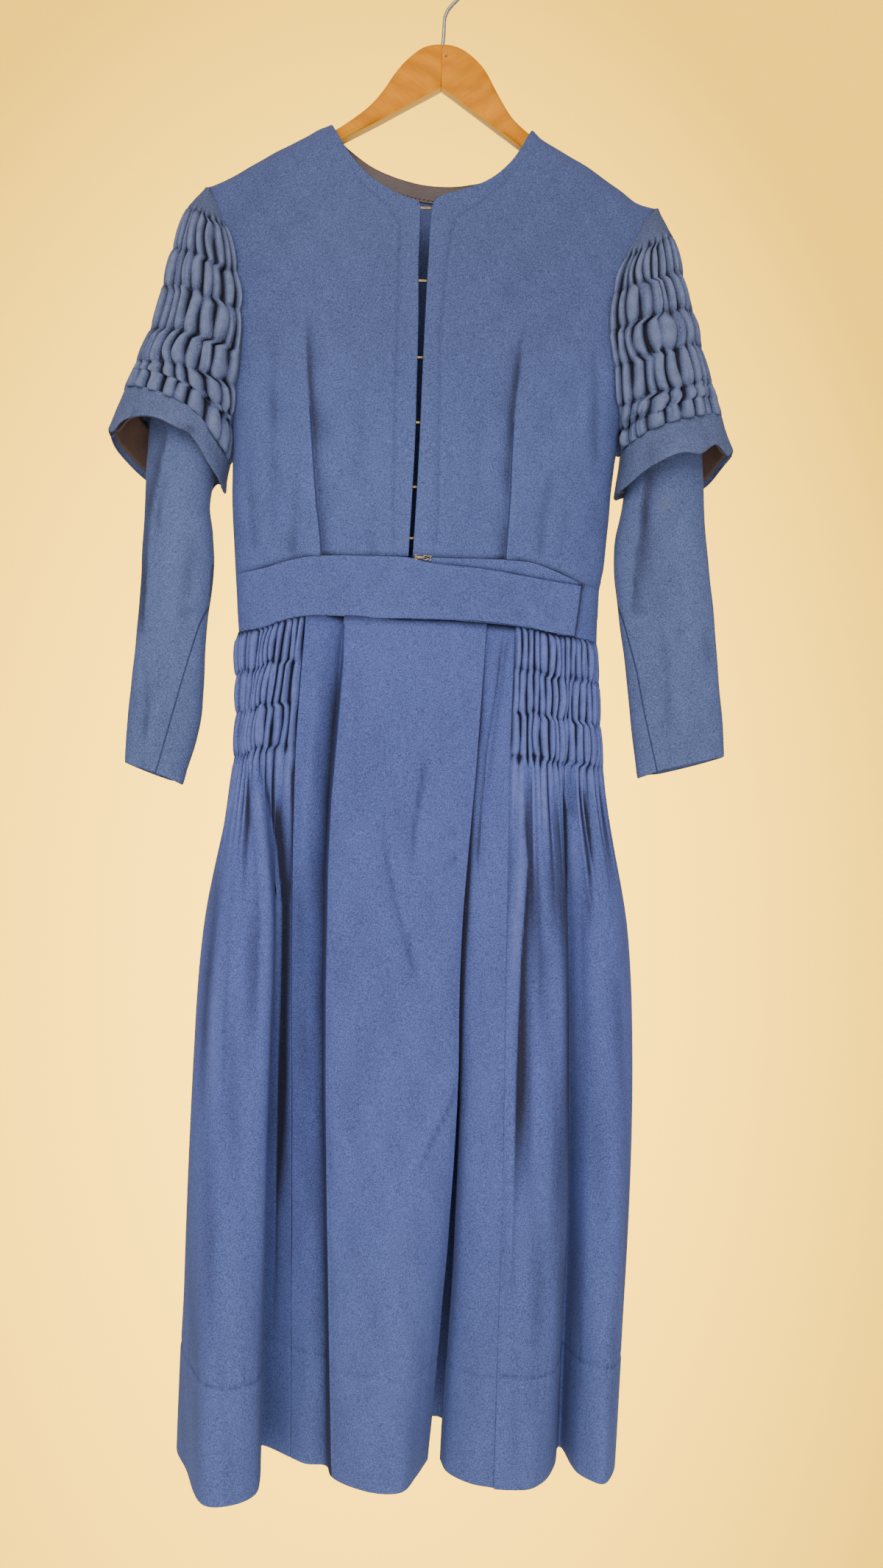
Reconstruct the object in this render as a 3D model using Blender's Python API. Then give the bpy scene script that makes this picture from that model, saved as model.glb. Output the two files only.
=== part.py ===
"""A long-sleeved wool crepe dress with shirred oversleeves and hips, on a wooden hanger.

Sizes are in millimetres, and MM turns them into metres. X runs to the wearer's left, Y to the back
and Z up. The origin is where a rod bears, inside the top of the hanger's hook.
"""
import math
from types import SimpleNamespace

import bmesh
import bpy
from mathutils import Vector

MM = 0.001

# ---------------------------------------------------------------- driving sizes
CLOTH = 1.6             # the dress cloth with its turnings
SEAM = 0.4              # gap left between two pieces that are sewn together
NAP = 0.3               # gap left where one piece lies on another
BAND = 2.2              # the waistband and the sleeve bands, cloth folded double
LINING = 0.9            # lining and facing
SHOULDER_ROUND = 24.0   # over this drop the shoulders round over the hanger
SQUARENESS = 2.4        # of the body's oval sections: 2 is an ellipse
HEM = -1290.0
SHIRR_STEP = 35.7       # between two rows of hip shirring
SHIRR_ROWS = 3
HIP_PUFF = 4.8          # how far the hip gathers stand out
SLEEVE_PUFF = 6.6       # how far the oversleeve's gathers stand out
PINCH = 0.12            # share of a gather's height left under a row of stitches
WIRE = 0.45             # radius of the hooks' and eyes' wire
HANGER_X = -4.0         # the hanger's middle joint
HANGER_HALF = 6.0       # half of the arms' thickness
HOOK_WIRE = 1.6         # radius of the hanger hook's wire
HOOK_BEND = 16.2        # radius of the hook's bend, to the middle of the wire


class Table:
    """Rows of named columns, read smoothly between the rows along the first column."""

    def __init__(self, columns, *rows):
        self.columns = columns.split()
        self.rows = sorted(rows)

    def at(self, key):
        rows = self.rows
        key = min(max(key, rows[0][0]), rows[-1][0])
        here = max(k for k in range(len(rows) - 1) if rows[k][0] <= key)
        low, high = rows[here], rows[here + 1]
        before = rows[max(here - 1, 0)]
        after = rows[min(here + 2, len(rows) - 1)]
        span = high[0] - low[0]
        t = (key - low[0]) / span
        values = {}
        for column, name in enumerate(self.columns[1:], start=1):
            leave = (high[column] - before[column]) / (high[0] - before[0]) * span
            reach = (after[column] - low[column]) / (after[0] - low[0]) * span
            values[name] = hermite(low[column], high[column], leave, reach, t)
        return SimpleNamespace(**values)


def hermite(start, end, leave, reach, t):
    """The cubic from start to end with the two given end slopes."""
    return (start * (2 * t**3 - 3 * t**2 + 1) + leave * (t**3 - 2 * t**2 + t)
            + end * (3 * t**2 - 2 * t**3) + reach * (t**3 - t**2))


def through(points, t):
    """A smooth curve through points, which t counts from 0; it keeps inside sharp bends."""
    last = len(points) - 1
    t = min(max(t, 0.0), last)
    k = min(int(t), last - 1)
    a, b = points[k], points[k + 1]
    before = points[k - 1] if k > 0 else a * 2 - b
    after = points[k + 2] if k + 2 <= last else b * 2 - a
    d0 = math.sqrt(max((a - before).length, 1e-6))
    d1 = math.sqrt(max((b - a).length, 1e-6))
    d2 = math.sqrt(max((after - b).length, 1e-6))
    leave = ((a - before) / d0 - (b - before) / (d0 + d1) + (b - a) / d1) * d1
    reach = ((b - a) / d1 - (after - a) / (d1 + d2) + (after - b) / d2) * d1
    return hermite(a, b, leave, reach, t - k)


def mix(a, b, t):
    return a + (b - a) * t


def clamp(value, low=0.0, high=1.0):
    return min(max(value, low), high)


def uneven(*keys):
    """A fixed uneven number from -1 to 1 for a set of whole numbers."""
    turn = math.sin(sum(key * weight for key, weight in zip(keys, (12.9898, 78.233, 37.719)))) * 43758.5
    return 2 * (turn - math.floor(turn)) - 1


# ---------------------------------------------------------------- the body's form
# right and left: where the sides turn over; front and back: how deep the middle stands.
BODY = Table("z right left front back",
             (-140, -206, 188, 17, 16),
             (-200, -208, 190, 22, 18),
             (-250, -206, 188, 29, 22),
             (-300, -205, 187, 35, 27),
             (-350, -199, 181, 40, 31),
             (-385, -185, 167, 43, 33),
             (-405, -176.2, 158.2, 44, 34),
             (-440, -175.5, 153.6, 44.5, 34),
             (-480, -174, 151.4, 42, 33),
             (-520, -170.8, 148, 38.5, 31),
             (-538, -169.4, 145, 38, 31),
             (-590, -165.8, 143.6, 40, 33))
SHOULDER = Table("x z",
                 (-206, -198), (-191, -192.5), (-170, -181.2), (-153, -171), (-134, -160),
                 (-114.5, -149.6), (-98, -141), (-60, -120), (-6, -95), (40, -118),
                 (76, -141), (84, -148.5), (101.6, -158.6), (128, -174), (152, -190),
                 (168, -201.5), (188, -206))
NECK_RIGHT = -98.0
NECK_LEFT = 76.0
# The waistband's upper and lower edges as they hang, level at the middle and lower at the sides.
WAIST_FRONT = Table("x top bottom",
                    (-170, -534.6, -585.4), (-143, -531, -582), (-124, -526, -576), (-105, -522, -572),
                    (-85, -521, -571.6), (-43, -520.8, -573), (18, -520.8, -573.3), (66, -520.6, -575.5),
                    (84, -521.8, -577.6), (104, -527.7, -581), (126, -535.5, -583), (146, -539.8, -585.6))
WAIST_BACK = Table("x top bottom",
                   (-170, -534.6, -585.4), (-90, -531.5, -582.5), (-9, -530, -581), (80, -533, -583),
                   (146, -539.8, -585.6))


def body_depth(x, z, half):
    """How far the body's front or back stands from the side seams' plane."""
    form = BODY.at(z)
    middle = (form.right + form.left) / 2
    across = clamp(abs(x - middle) * 2 / (form.left - form.right))
    side = (1 - across**SQUARENESS) ** (1 / SQUARENESS)
    drop = clamp((SHOULDER.at(x).z - z) / SHOULDER_ROUND)
    return getattr(form, half) * side * math.sin(drop * math.pi / 2) ** 0.7


def on_body(x, z, half, proud=0.0):
    """A point of the body's outside, with half a seam's gap at the sides and shoulders."""
    depth = body_depth(x, z, half) + proud + SEAM / 2
    return Vector((x, -depth if half == "front" else depth, z))


def into_body(place, half, depth):
    """The point moved in by depth, square to the body's form, on its own side of the seams."""
    step = 0.25
    slope_x = (body_depth(place.x + step, place.z, half) - body_depth(place.x - step, place.z, half)) / (2 * step)
    slope_z = (body_depth(place.x, place.z + step, half) - body_depth(place.x, place.z - step, half)) / (2 * step)
    out = Vector((-slope_x, -1 if half == "front" else 1, -slope_z)).normalized()
    inner = place - out * depth
    inner.y = min(inner.y, -SEAM / 2) if half == "front" else max(inner.y, SEAM / 2)
    return inner


# ---------------------------------------------------------------- meshes
def material(name, color, roughness, metallic=0.0):
    finish = bpy.data.materials.new(name)
    finish.use_nodes = True
    shader = finish.node_tree.nodes["Principled BSDF"]
    shader.inputs["Base Color"].default_value = (*color, 1)
    shader.inputs["Roughness"].default_value = roughness
    shader.inputs["Metallic"].default_value = metallic
    return finish


def finish_mesh(name, bm, slot, sharp=60):
    bmesh.ops.recalc_face_normals(bm, faces=bm.faces)
    if bm.calc_volume(signed=True) < 0:
        bmesh.ops.reverse_faces(bm, faces=bm.faces)
    mesh = bpy.data.meshes.new(name)
    bm.to_mesh(mesh)
    bm.free()
    mesh.shade_smooth()
    mesh.set_sharp_from_angle(angle=math.radians(sharp))
    mesh.materials.append(slot)
    piece = bpy.data.objects.new(name, mesh)
    bpy.context.collection.objects.link(piece)
    return piece


def inside(surface, a, b, depth, facing):
    """The surface's point at a, b moved in by depth; facing tells which side is in."""
    step = 0.02
    along_a = surface(a + step, b) - surface(a - step, b)
    along_b = surface(a, b + step) - surface(a, b - step)
    return surface(a, b) + along_a.cross(along_b).normalized() * (depth * facing)


def inside_half(surface, half, depth):
    """The inner face of a front or back piece of the body."""
    return lambda i, j: into_body(surface(i, j), half, depth)


def strips(count, step):
    return [(k, min(k + step, count)) for k in range(0, count, step)]


def cloth_sheet(name, slot, outer, inner, columns, rows, coarse=(1, 1)):
    """A cut piece of cloth: an outer and an inner grid of points, closed along its four edges.

    coarse thins the inner grid, which stays plain under the raised gathers.
    """
    bm = bmesh.new()
    face = {}
    back = {}
    for i in range(columns + 1):
        for j in range(rows + 1):
            face[i, j] = bm.verts.new(outer(i, j) * MM)
            if i % coarse[0] == 0 and j % coarse[1] == 0:
                back[i, j] = bm.verts.new(inner(i, j) * MM)
    for i in range(columns):
        for j in range(rows):
            bm.faces.new((face[i, j], face[i + 1, j], face[i + 1, j + 1], face[i, j + 1]))
    for i, i_next in strips(columns, coarse[0]):
        for j, j_next in strips(rows, coarse[1]):
            bm.faces.new((back[i, j], back[i, j_next], back[i_next, j_next], back[i_next, j]))
    for j in (0, rows):
        for i, i_next in strips(columns, coarse[0]):
            edge = [face[k, j] for k in range(i, i_next + 1)]
            bm.faces.new(edge + [back[i_next, j], back[i, j]])
    for i in (0, columns):
        for j, j_next in strips(rows, coarse[1]):
            edge = [face[i, k] for k in range(j, j_next + 1)]
            bm.faces.new(edge + [back[i, j_next], back[i, j]])
    return finish_mesh(name, bm, slot)


def cloth_tube(name, slot, outer, inner, around, rows):
    """A sleeve or a band: an outer and an inner ring of points at each row, joined at both ends."""
    bm = bmesh.new()
    rings = []
    for surface in (outer, inner):
        rings.append([[bm.verts.new(surface(i, j) * MM) for i in range(around)] for j in range(rows + 1)])
    for layer in rings:
        for upper, lower in zip(layer, layer[1:]):
            for i in range(around):
                k = (i + 1) % around
                bm.faces.new((upper[i], upper[k], lower[k], lower[i]))
    for j in (0, rows):
        for i in range(around):
            k = (i + 1) % around
            bm.faces.new((rings[0][j][i], rings[0][j][k], rings[1][j][k], rings[1][j][i]))
    return finish_mesh(name, bm, slot)


def wire(name, slot, points, radius, sides=1):
    """A bent wire with closed ends."""
    curve = bpy.data.curves.new(name, "CURVE")
    curve.dimensions = "3D"
    curve.bevel_depth = radius * MM
    curve.bevel_resolution = sides
    curve.use_fill_caps = True
    run = curve.splines.new("POLY")
    run.points.add(len(points) - 1)
    for knot, place in zip(run.points, points):
        knot.co = (*(place * MM), 1)
    curve.materials.append(slot)
    piece = bpy.data.objects.new(name, curve)
    bpy.context.collection.objects.link(piece)
    return piece


# ---------------------------------------------------------------- bodice
# The opening's edges: down from the round neck corner to the waist.
OPENING = Table("z right left",
                (-213, -18.6, -8.4), (-239, -19.9, -8.5), (-270, -18.8, -10.2), (-292, -16.8, -11.2),
                (-351, -16.8, -12.4), (-402, -16.5, -12.6), (-446, -17.1, -13.6), (-489, -18.4, -15.0),
                (-521, -19.6, -16.4))
# Down each front, v = 0 at the waist and 1 at the shoulder: the inner edge (opening and neckline)
# and the height of the outer edge (side seam and armhole).
FRONT_RIGHT = Table("v inner_x inner_z outer_z",
                    (0.00, -19.6, -520.6, -534.4), (0.13, -17.9, -472, -492), (0.27, -16.5, -420, -447),
                    (0.38, -16.6, -375, -405), (0.52, -16.9, -318, -362), (0.64, -18.3, -270, -323),
                    (0.76, -18.2, -222, -287), (0.785, -21.0, -216, -279), (0.83, -37, -210.2, -262),
                    (0.885, -59.3, -196.6, -242), (0.935, -76, -180, -223), (0.975, -89.6, -160, -208),
                    (1.00, -98, -141.6, -198.4))
FRONT_LEFT = Table("v inner_x inner_z outer_z",
                   (0.00, -16.4, -520.6, -539.6), (0.13, -14.4, -472, -494), (0.27, -13.0, -420, -447),
                   (0.38, -12.5, -375, -405), (0.52, -11.5, -318, -364), (0.64, -10.3, -270, -327),
                   (0.76, -8.6, -222, -292), (0.785, -4.6, -212.4, -284), (0.83, 14, -205.8, -269),
                   (0.885, 39.6, -194.5, -248), (0.935, 58, -177.6, -230), (0.975, 70.4, -157, -216),
                   (1.00, 76, -141.6, -206.2))
SIDE_RIGHT = Table("z x",
                   (-198, -206), (-211, -198), (-224, -191.5), (-251, -180.5), (-290, -171), (-325, -166),
                   (-360, -167), (-385, -171.5), (-405, -175.8), (-440, -175.4), (-480, -173.8),
                   (-520, -170.6), (-540, -169.2))
SIDE_LEFT = Table("z x",
                  (-206, 187.6), (-220, 177), (-235, 168.7), (-258, 156.8), (-284, 148.2), (-318, 143.8),
                  (-348, 148.4), (-376, 152.4), (-405, 157.8), (-440, 153.4), (-480, 151.2),
                  (-520, 147.8), (-540, 144.8))
BACK_NECK = Table("t x z",
                  (0.0, -98, -141.6), (0.1, -86, -152.6), (0.22, -65, -167.5), (0.34, -46, -175.8),
                  (0.46, -24, -181.8), (0.56, -4, -184), (0.68, 19, -182.6), (0.80, 42, -176.6),
                  (0.90, 60, -163), (1.0, 76, -141.6))
UNDERARM = -405.0
FRONT_COLUMNS = 12
BACK_COLUMNS = 20       # six under each shoulder and eight under the neck
# How far up each row of the bodice lies, from the waist to the shoulders, closer round the neck.
LEVELS = (0, 0.14, 0.27, 0.39, 0.51, 0.62, 0.70, 0.76, 0.785, 0.83, 0.885, 0.935, 0.97, 0.99, 1)


def patch(bottom, top, start, end, u, v):
    """A surface's plan between four edges, each read from 0 to 1."""
    sides = mix(start(v), end(v), u)
    levels = mix(bottom(u), top(u), v)
    corners = mix(mix(start(0), end(0), u), mix(start(1), end(1), u), v)
    return sides + levels - corners


def front_surface(half_front):
    """The right or left bodice front: u from the opening to the side, v from waist to shoulder."""
    rows, side = (FRONT_RIGHT, SIDE_RIGHT) if half_front == "right" else (FRONT_LEFT, SIDE_LEFT)

    def inner_edge(v):
        row = rows.at(v)
        return Vector((row.inner_x, row.inner_z))

    def outer_edge(v):
        z = rows.at(v).outer_z
        return Vector((side.at(z).x, z))

    def waist(u):
        x = mix(inner_edge(0).x, outer_edge(0).x, u)
        return Vector((x, WAIST_FRONT.at(x).top + SEAM))

    def shoulder(u):
        x = mix(inner_edge(1).x, outer_edge(1).x, u)
        return Vector((x, SHOULDER.at(x).z - SEAM))

    def surface(i, j):
        u = math.sin(clamp(i / FRONT_COLUMNS) * math.pi / 2)
        plan = patch(waist, shoulder, inner_edge, outer_edge, u, LEVELS[j])
        return on_body(plan.x, plan.y, "front")
    return surface


def back_surface(i, j):
    """The bodice back: i from the right side to the left, j from waist to shoulders and neck."""
    def right_edge(v):
        z = FRONT_RIGHT.at(v).outer_z
        return Vector((SIDE_RIGHT.at(z).x, z))

    def left_edge(v):
        z = FRONT_LEFT.at(v).outer_z
        return Vector((SIDE_LEFT.at(z).x, z))

    def waist(u):
        x = mix(right_edge(0).x, left_edge(0).x, u)
        return Vector((x, WAIST_BACK.at(x).top + SEAM))

    def top(u):
        column = u * BACK_COLUMNS
        if column < 6:
            x = mix(SIDE_RIGHT.at(-198).x, NECK_RIGHT, column / 6)
        elif column > 14:
            x = mix(NECK_LEFT, SIDE_LEFT.at(-206).x, (column - 14) / 6)
        else:
            row = BACK_NECK.at((1 - math.cos((column - 6) / 8 * math.pi)) / 2)
            return Vector((row.x, row.z))
        return Vector((x, SHOULDER.at(x).z - SEAM))

    even = clamp(i / BACK_COLUMNS)
    swept = (1 - math.cos(even * math.pi)) / 2
    v = LEVELS[j]
    u = mix(even, swept, 0.7 * (1 - v))
    plan = patch(waist, top, right_edge, left_edge, u, v)
    return on_body(plan.x, plan.y, "back")


FACING_GAP = 0.9        # the facing stands a little off the back's flat facets


def make_bodice(cloth, lining):
    rows = len(LEVELS) - 1
    for side in ("right", "left"):
        surface = front_surface(side)
        cloth_sheet(f"bodice_front_{side}", cloth, surface, inside_half(surface, "front", CLOTH),
                    FRONT_COLUMNS, rows)
    cloth_sheet("bodice_back", cloth, back_surface, inside_half(back_surface, "back", CLOTH),
                BACK_COLUMNS, rows)

    def facing_at(depth):
        """The back neck facing: the panel's own points under the neck, moved in."""
        return lambda i, j: into_body(back_surface(i + 7, rows - j), "back", depth)
    cloth_sheet("neck_facing", lining, facing_at(CLOTH + FACING_GAP),
                facing_at(CLOTH + FACING_GAP + LINING), 6, 2)


# ---------------------------------------------------------------- sleeves
# One row for each line of shirring, from the cap to the band: the outer fold, where the row meets
# the armhole (or, from the underarm down, its own seam), its depth and how far its front rides up.
OVERSLEEVE_RIGHT = Table("line out_x out_z in_x in_z deep lift",
                         (0, -208.4, -199.4, -202.2, -206, 8, 0), (1, -219.5, -217, -190.6, -228, 19, 2),
                         (2, -232.5, -256, -176.6, -272, 31, 5), (3, -239.5, -291, -167.6, -322, 37, 8),
                         (4, -251.5, -327, -168.6, -356, 39, 10), (5, -260.5, -356, -172.6, -380, 39, 12),
                         (6, -265.0, -372, -177.4, -406, 38, 15), (7, -268.0, -384.6, -178.8, -434.6, 38, 18))
OVERSLEEVE_LEFT = Table("line out_x out_z in_x in_z deep lift",
                        (0, 190.0, -207.2, 183.4, -213, 8, 0), (1, 200.5, -222, 169.6, -237, 19, 1),
                        (2, 210.0, -257, 151.0, -281, 30, 1), (3, 221.5, -293, 145.8, -326, 36, 1),
                        (4, 230.0, -328, 151.6, -360, 38, 2), (5, 238.0, -358, 155.8, -384, 39, 2),
                        (6, 241.8, -373, 160.0, -404, 39, 2), (7, 244.6, -386.6, 160.8, -416.2, 39, 3))
# The turned bands: their upper and lower rings.
BAND_RIGHT = Table("line out_x out_z in_x in_z deep lift",
                   (0, -268.5, -386.5, -178.6, -436.7, 38, 18), (1, -283.0, -416.4, -190.2, -471.6, 42, 27))
BAND_LEFT = Table("line out_x out_z in_x in_z deep lift",
                  (0, 244.9, -387.9, 160.8, -417.7, 39, 3), (1, 256.5, -420.4, 156.2, -452.0, 43, 7))
# The long sleeves inside, from the armhole to the cuff.
UNDERSLEEVE_RIGHT = Table("line out_x out_z in_x in_z deep lift",
                          (0, -209, -236, -182, -390, 15, 0), (1, -223, -300, -183.5, -404, 21, 0),
                          (2, -237, -350, -186, -421, 24, 0), (3, -246, -392, -190, -446, 23, 0),
                          (4, -249.4, -440, -194.8, -474, 20, 0), (5, -250.5, -490, -190.8, -500, 18, 0),
                          (6, -252, -540, -189.5, -535, 17, 0), (7, -254.5, -590, -194.5, -585, 16, 0),
                          (8, -258, -632, -195, -632, 15, 1), (9, -260.8, -668, -199, -672, 14, 2),
                          (10, -261.3, -699.2, -210.8, -717, 12, 2))
UNDERSLEEVE_LEFT = Table("line out_x out_z in_x in_z deep lift",
                         (0, 188, -240, 163, -388, 15, 0), (1, 205, -300, 164.5, -400, 21, 0),
                         (2, 219, -350, 165.5, -416, 23, 0), (3, 228, -392, 165.5, -438, 23, 0),
                         (4, 231.5, -432, 163.5, -463, 21, 0), (5, 235, -478, 157.4, -494, 19, 0),
                         (6, 240.5, -525, 157.6, -520, 17, 0), (7, 246, -566, 162, -556, 16, 0),
                         (8, 251, -615, 170.5, -612, 15, 1), (9, 255.5, -655, 177, -662, 14, 2),
                         (10, 257.6, -679.5, 182.5, -700.5, 12, 2))
OVER_COLUMNS = 48       # two to a gather: 12 gathers in front and 12 behind
OVER_ROWS = 14          # two to a line of shirring
SLEEVE_AROUND = 16
BAND_AROUND = 24


def ring_lift(row, y, reach):
    """A ring's front rides up and its back hangs down, more so towards the body."""
    return row.lift * -y / row.deep * (0.5 + reach)


def ring_point(row, turn, inset=0.0):
    """A ring of a sleeve; turn runs from 0 at the outer fold by the front to pi at the body."""
    fold = Vector((row.out_x, 0, row.out_z))
    seam = Vector((row.in_x, 0, row.in_z))
    across = (seam - fold).normalized()
    place = mix(fold + across * inset, seam - across * inset, (1 - math.cos(turn)) / 2)
    side = math.sin(turn)
    y = -(row.deep - inset) * math.copysign(abs(side) ** 0.85, side)
    return place + Vector((0, y, ring_lift(row, y, (1 - math.cos(turn)) / 2)))


def oversleeve_surface(side):
    """The gathered oversleeve without its gathers: i from the front seam out and round to the back."""
    rows = OVERSLEEVE_RIGHT if side == "right" else OVERSLEEVE_LEFT
    edge = SIDE_RIGHT if side == "right" else SIDE_LEFT

    def surface(i, j):
        line = clamp(j / 2, 0, 7)
        row = rows.at(line)
        way = clamp(i / OVER_COLUMNS) * 2 - 1
        half = "front" if way < 0 else "back"
        if row.in_z > UNDERARM + 3:
            armhole = body_depth(edge.at(row.in_z).x, row.in_z, half)
        else:
            armhole = 0.0
        deep = row.deep if half == "front" else row.deep * 0.92
        share = clamp((armhole + SEAM / 2) / deep, 0, 0.96)
        end = math.pi - math.asin(share ** (1 / 0.85))
        turn = abs(way) * end
        reach = (1 - math.cos(turn)) / (1 - math.cos(end))
        place = mix(Vector((row.out_x, 0, row.out_z)), Vector((row.in_x, 0, row.in_z)), reach)
        y = deep * abs(math.sin(turn)) ** 0.85 * (-1 if half == "front" else 1)
        return place + Vector((0, y, ring_lift(row, y, reach)))
    return surface


def gathered(surface, facing, i, j, columns, height, room):
    """A gathered point: odd columns are crests, pinched under each line of stitches."""
    if i % 2 == 0:
        return surface(i, j)
    line_share = PINCH if j % 2 == 0 else 1.0
    edge = clamp(i / 4) * clamp((columns - i) / 4)
    rise = height * line_share * edge * room * (1 + 0.3 * uneven(i, j))
    return inside(surface, i, j, -rise, facing)


def make_sleeves(cloth, lining):
    for side, facing, band_rows, under_rows in (
            ("right", -1, BAND_RIGHT, UNDERSLEEVE_RIGHT), ("left", 1, BAND_LEFT, UNDERSLEEVE_LEFT)):
        surface = oversleeve_surface(side)

        def puffed(i, j):
            room = clamp((j + 1) / 4)
            return gathered(surface, facing, i, j, OVER_COLUMNS, SLEEVE_PUFF, room)

        cloth_sheet(f"oversleeve_{side}", cloth, puffed,
                    lambda i, j: inside(surface, i, j, CLOTH, facing), OVER_COLUMNS, OVER_ROWS, (4, 2))

        def band(inset):
            return lambda i, j: ring_point(band_rows.at(clamp(j / 2)), i * math.tau / BAND_AROUND, inset)
        cloth_tube(f"sleeve_band_{side}", cloth, band(0), band(BAND), BAND_AROUND, 2)

        def in_band(inset):
            return lambda i, j: ring_point(band_rows.at(0.08 + 0.74 * j), i * math.tau / BAND_AROUND, inset)
        cloth_tube(f"sleeve_lining_{side}", lining, in_band(BAND + NAP), in_band(BAND + NAP + LINING),
                   BAND_AROUND, 1)

        def under(inset):
            return lambda i, j: ring_point(under_rows.at(j), i * math.tau / SLEEVE_AROUND, inset)
        cloth_tube(f"undersleeve_{side}", cloth, under(0), under(CLOTH), SLEEVE_AROUND, 10)


# ---------------------------------------------------------------- waistband
OVERLAP_END = (127.0, 122.0)    # x of the free end's corners, upper and lower
OVERLAP = Table("x top bottom",
                (-170, -534.6, -585.4), (-143, -531, -582), (-124, -526, -576), (-105, -522, -572),
                (-85, -521, -571.6), (-43, -520.8, -573), (-18, -522.2, -573), (1, -526.2, -573),
                (41, -529.2, -573.3), (79, -534, -576.4), (104, -537.2, -580.6), (127, -538.8, -582.4))
BAND_PROUD = 0.5


def overlap_lift(x):
    """The right band lies on the left one past the opening."""
    return BAND_PROUD + (BAND + NAP + 0.7) * clamp((x + 42) / 24)


def make_waistband(cloth):
    def strip(half, start, end, edges, lift, columns, ease):
        """A band between its two ends, each given by its x at the upper and the lower edge."""
        def surface(i, j):
            t = ease(clamp(i / columns))
            v = clamp(j / 2)
            x = mix(mix(start[0], end[0], t), mix(start[1], end[1], t), v)
            row = edges.at(x)
            return on_body(x, mix(row.top, row.bottom, v), half, lift(x))
        return surface

    def to_side(t):
        return math.sin(t * math.pi / 2)

    def side_to_side(t):
        return (1 - math.cos(t * math.pi)) / 2

    right_side, left_side = (-169.4, -165.9), (145.0, 143.6)
    for name, half, start, end, edges, lift, columns, ease in (
            ("waistband_right", "front", OVERLAP_END, right_side, OVERLAP, overlap_lift, 26, to_side),
            ("waistband_left", "front", (-15.6, -15.6), left_side, WAIST_FRONT,
             lambda x: BAND_PROUD, 14, to_side),
            ("waistband_back", "back", right_side, left_side, WAIST_BACK,
             lambda x: BAND_PROUD, 20, side_to_side)):
        surface = strip(half, start, end, edges, lift, columns, ease)
        cloth_sheet(name, cloth, surface, inside_half(surface, half, BAND), columns, 2)


# ---------------------------------------------------------------- skirt
# Each fold line of the skirt, going round from the picture's left to right and then back behind.
# Columns: steps to the next line, half, x at the waistband and how far it is tucked in there, then
# x and y at the hips, thighs, knees and hem.
HIP, THIGH, KNEE = 0.165, 0.357, 0.608
SIDE_RIGHT_FOLDS = (
    (4, "back", -115.6, 0, -124.6, 33, -136.6, 36, -142.6, 34, -142.6, 30),    # back seam
    (4, "back", -133, 0, -142, 29, -160, 41, -168, 47, -168, 50),              # back crest
    (4, "back", -152, 0, -158, 16, -181, 18, -188, 20, -190, 28),
    (2, "front", -166, 0, -166.4, -2, -187, -4, -194.4, -6, -199.5, 4),        # side
    (2, "front", -157, 0, -161, -20, -179, -36, -186, -42, -182, -42),
    (4, "front", -146, 0, -153, -31, -162, -54, -164, -68, -160, -83),         # gore's crest
    (2, "front", -134, 0, -146, -37, -142, -60, -140, -73, -137, -82),
    (2, "front", -127, 0, -139, -39, -124, -54, -122, -64, -122.5, -67),       # gore's fold edge
    (2, "front", -121, 0, -133, -35, -124, -36, -123.5, -38, -121.5, -45),
    (2, "front", -114, 0, -124, -32, -127, -19, -130, -7, -129, 4),            # recess
    (0, "front", -105.4, 0, -110.4, -36, -111, -24, -107, -16, -100.4, -13),   # front seam
)
FRONT_FOLDS = (
    (2, "front", -104.8, 0, -109.8, -36, -110.4, -24, -106.4, -16, -99.8, -13.4),
    (3, "front", -90, 0, -96, -38, -98, -26, -92, -19, -86, -22),              # flat strip
    (2, "front", -71, 5.5, -74, -32, -79, -28, -74, -30, -72, -31),              # under the knife pleat
    (3, "front", -72, 0, -77.5, -45, -80.5, -50, -74.5, -52, -62, -40),        # the pleat's fold
    (3, "front", -40, 0, -40, -50, -40, -56, -36, -60, -29, -59.5),
    (3, "front", 8, 0, 4, -51, 2, -58, 2, -62, -4, -58.5),
    (2, "front", 40, 0, 33, -49, 27, -54, 26, -56, 8, -36),
    (0, "front", 47.5, 0, 42, -47, 34, -50, 33, -50, 18.2, -10),               # free edge
)
UNDER_FOLDS = (
    (2, "front", 24, 3.8, 26, -40, 30, -42, 35.6, -38, 28, -10),                 # edge under the wrap
    (2, "front", 48, 3.8, 46, -41, 44, -46, 43, -47, 33.5, -27),
    (2, "front", 60, 3.8, 56, -40, 54, -48, 54, -51, 52, -42.5),
    (0, "front", 71, 3.8, 69, -43, 70, -51, 72, -53, 72, -50),                   # seam
)
SIDE_LEFT_FOLDS = (
    (4, "front", 71.6, 0, 69.6, -43, 70.6, -51, 72.6, -53, 72.6, -50),         # front seam
    (4, "front", 88, 0, 91, -43, 97, -54, 101, -55, 95, -50.5),
    (2, "front", 102, 0, 106, -41, 117, -48, 122, -47, 114, -39.5),
    (2, "front", 109, 0, 111, -37, 123, -39, 129, -35, 126.5, -14),            # lobe's fold edge
    (4, "front", 115, 0, 115, -30, 124.5, -20, 131.5, -8, 133, 14),            # recess
    (2, "front", 126, 0, 128, -29, 142, -31, 147, -31, 146, -26),
    (2, "front", 136, 0, 142, -22, 163, -29, 170, -31, 164, -39),              # side gore
    (4, "front", 143.8, 0, 152.5, -2, 177.5, -4, 186.5, -4, 178, -6),          # side
    (4, "back", 131, 0, 143, 17, 169, 20, 177, 22, 172, 28),
    (4, "back", 114, 0, 124, 29, 146, 41, 154, 47, 150, 50),
    (0, "back", 95.6, 0, 104.6, 33, 118.6, 36, 124.6, 34, 118.6, 30),          # back seam
)
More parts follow.
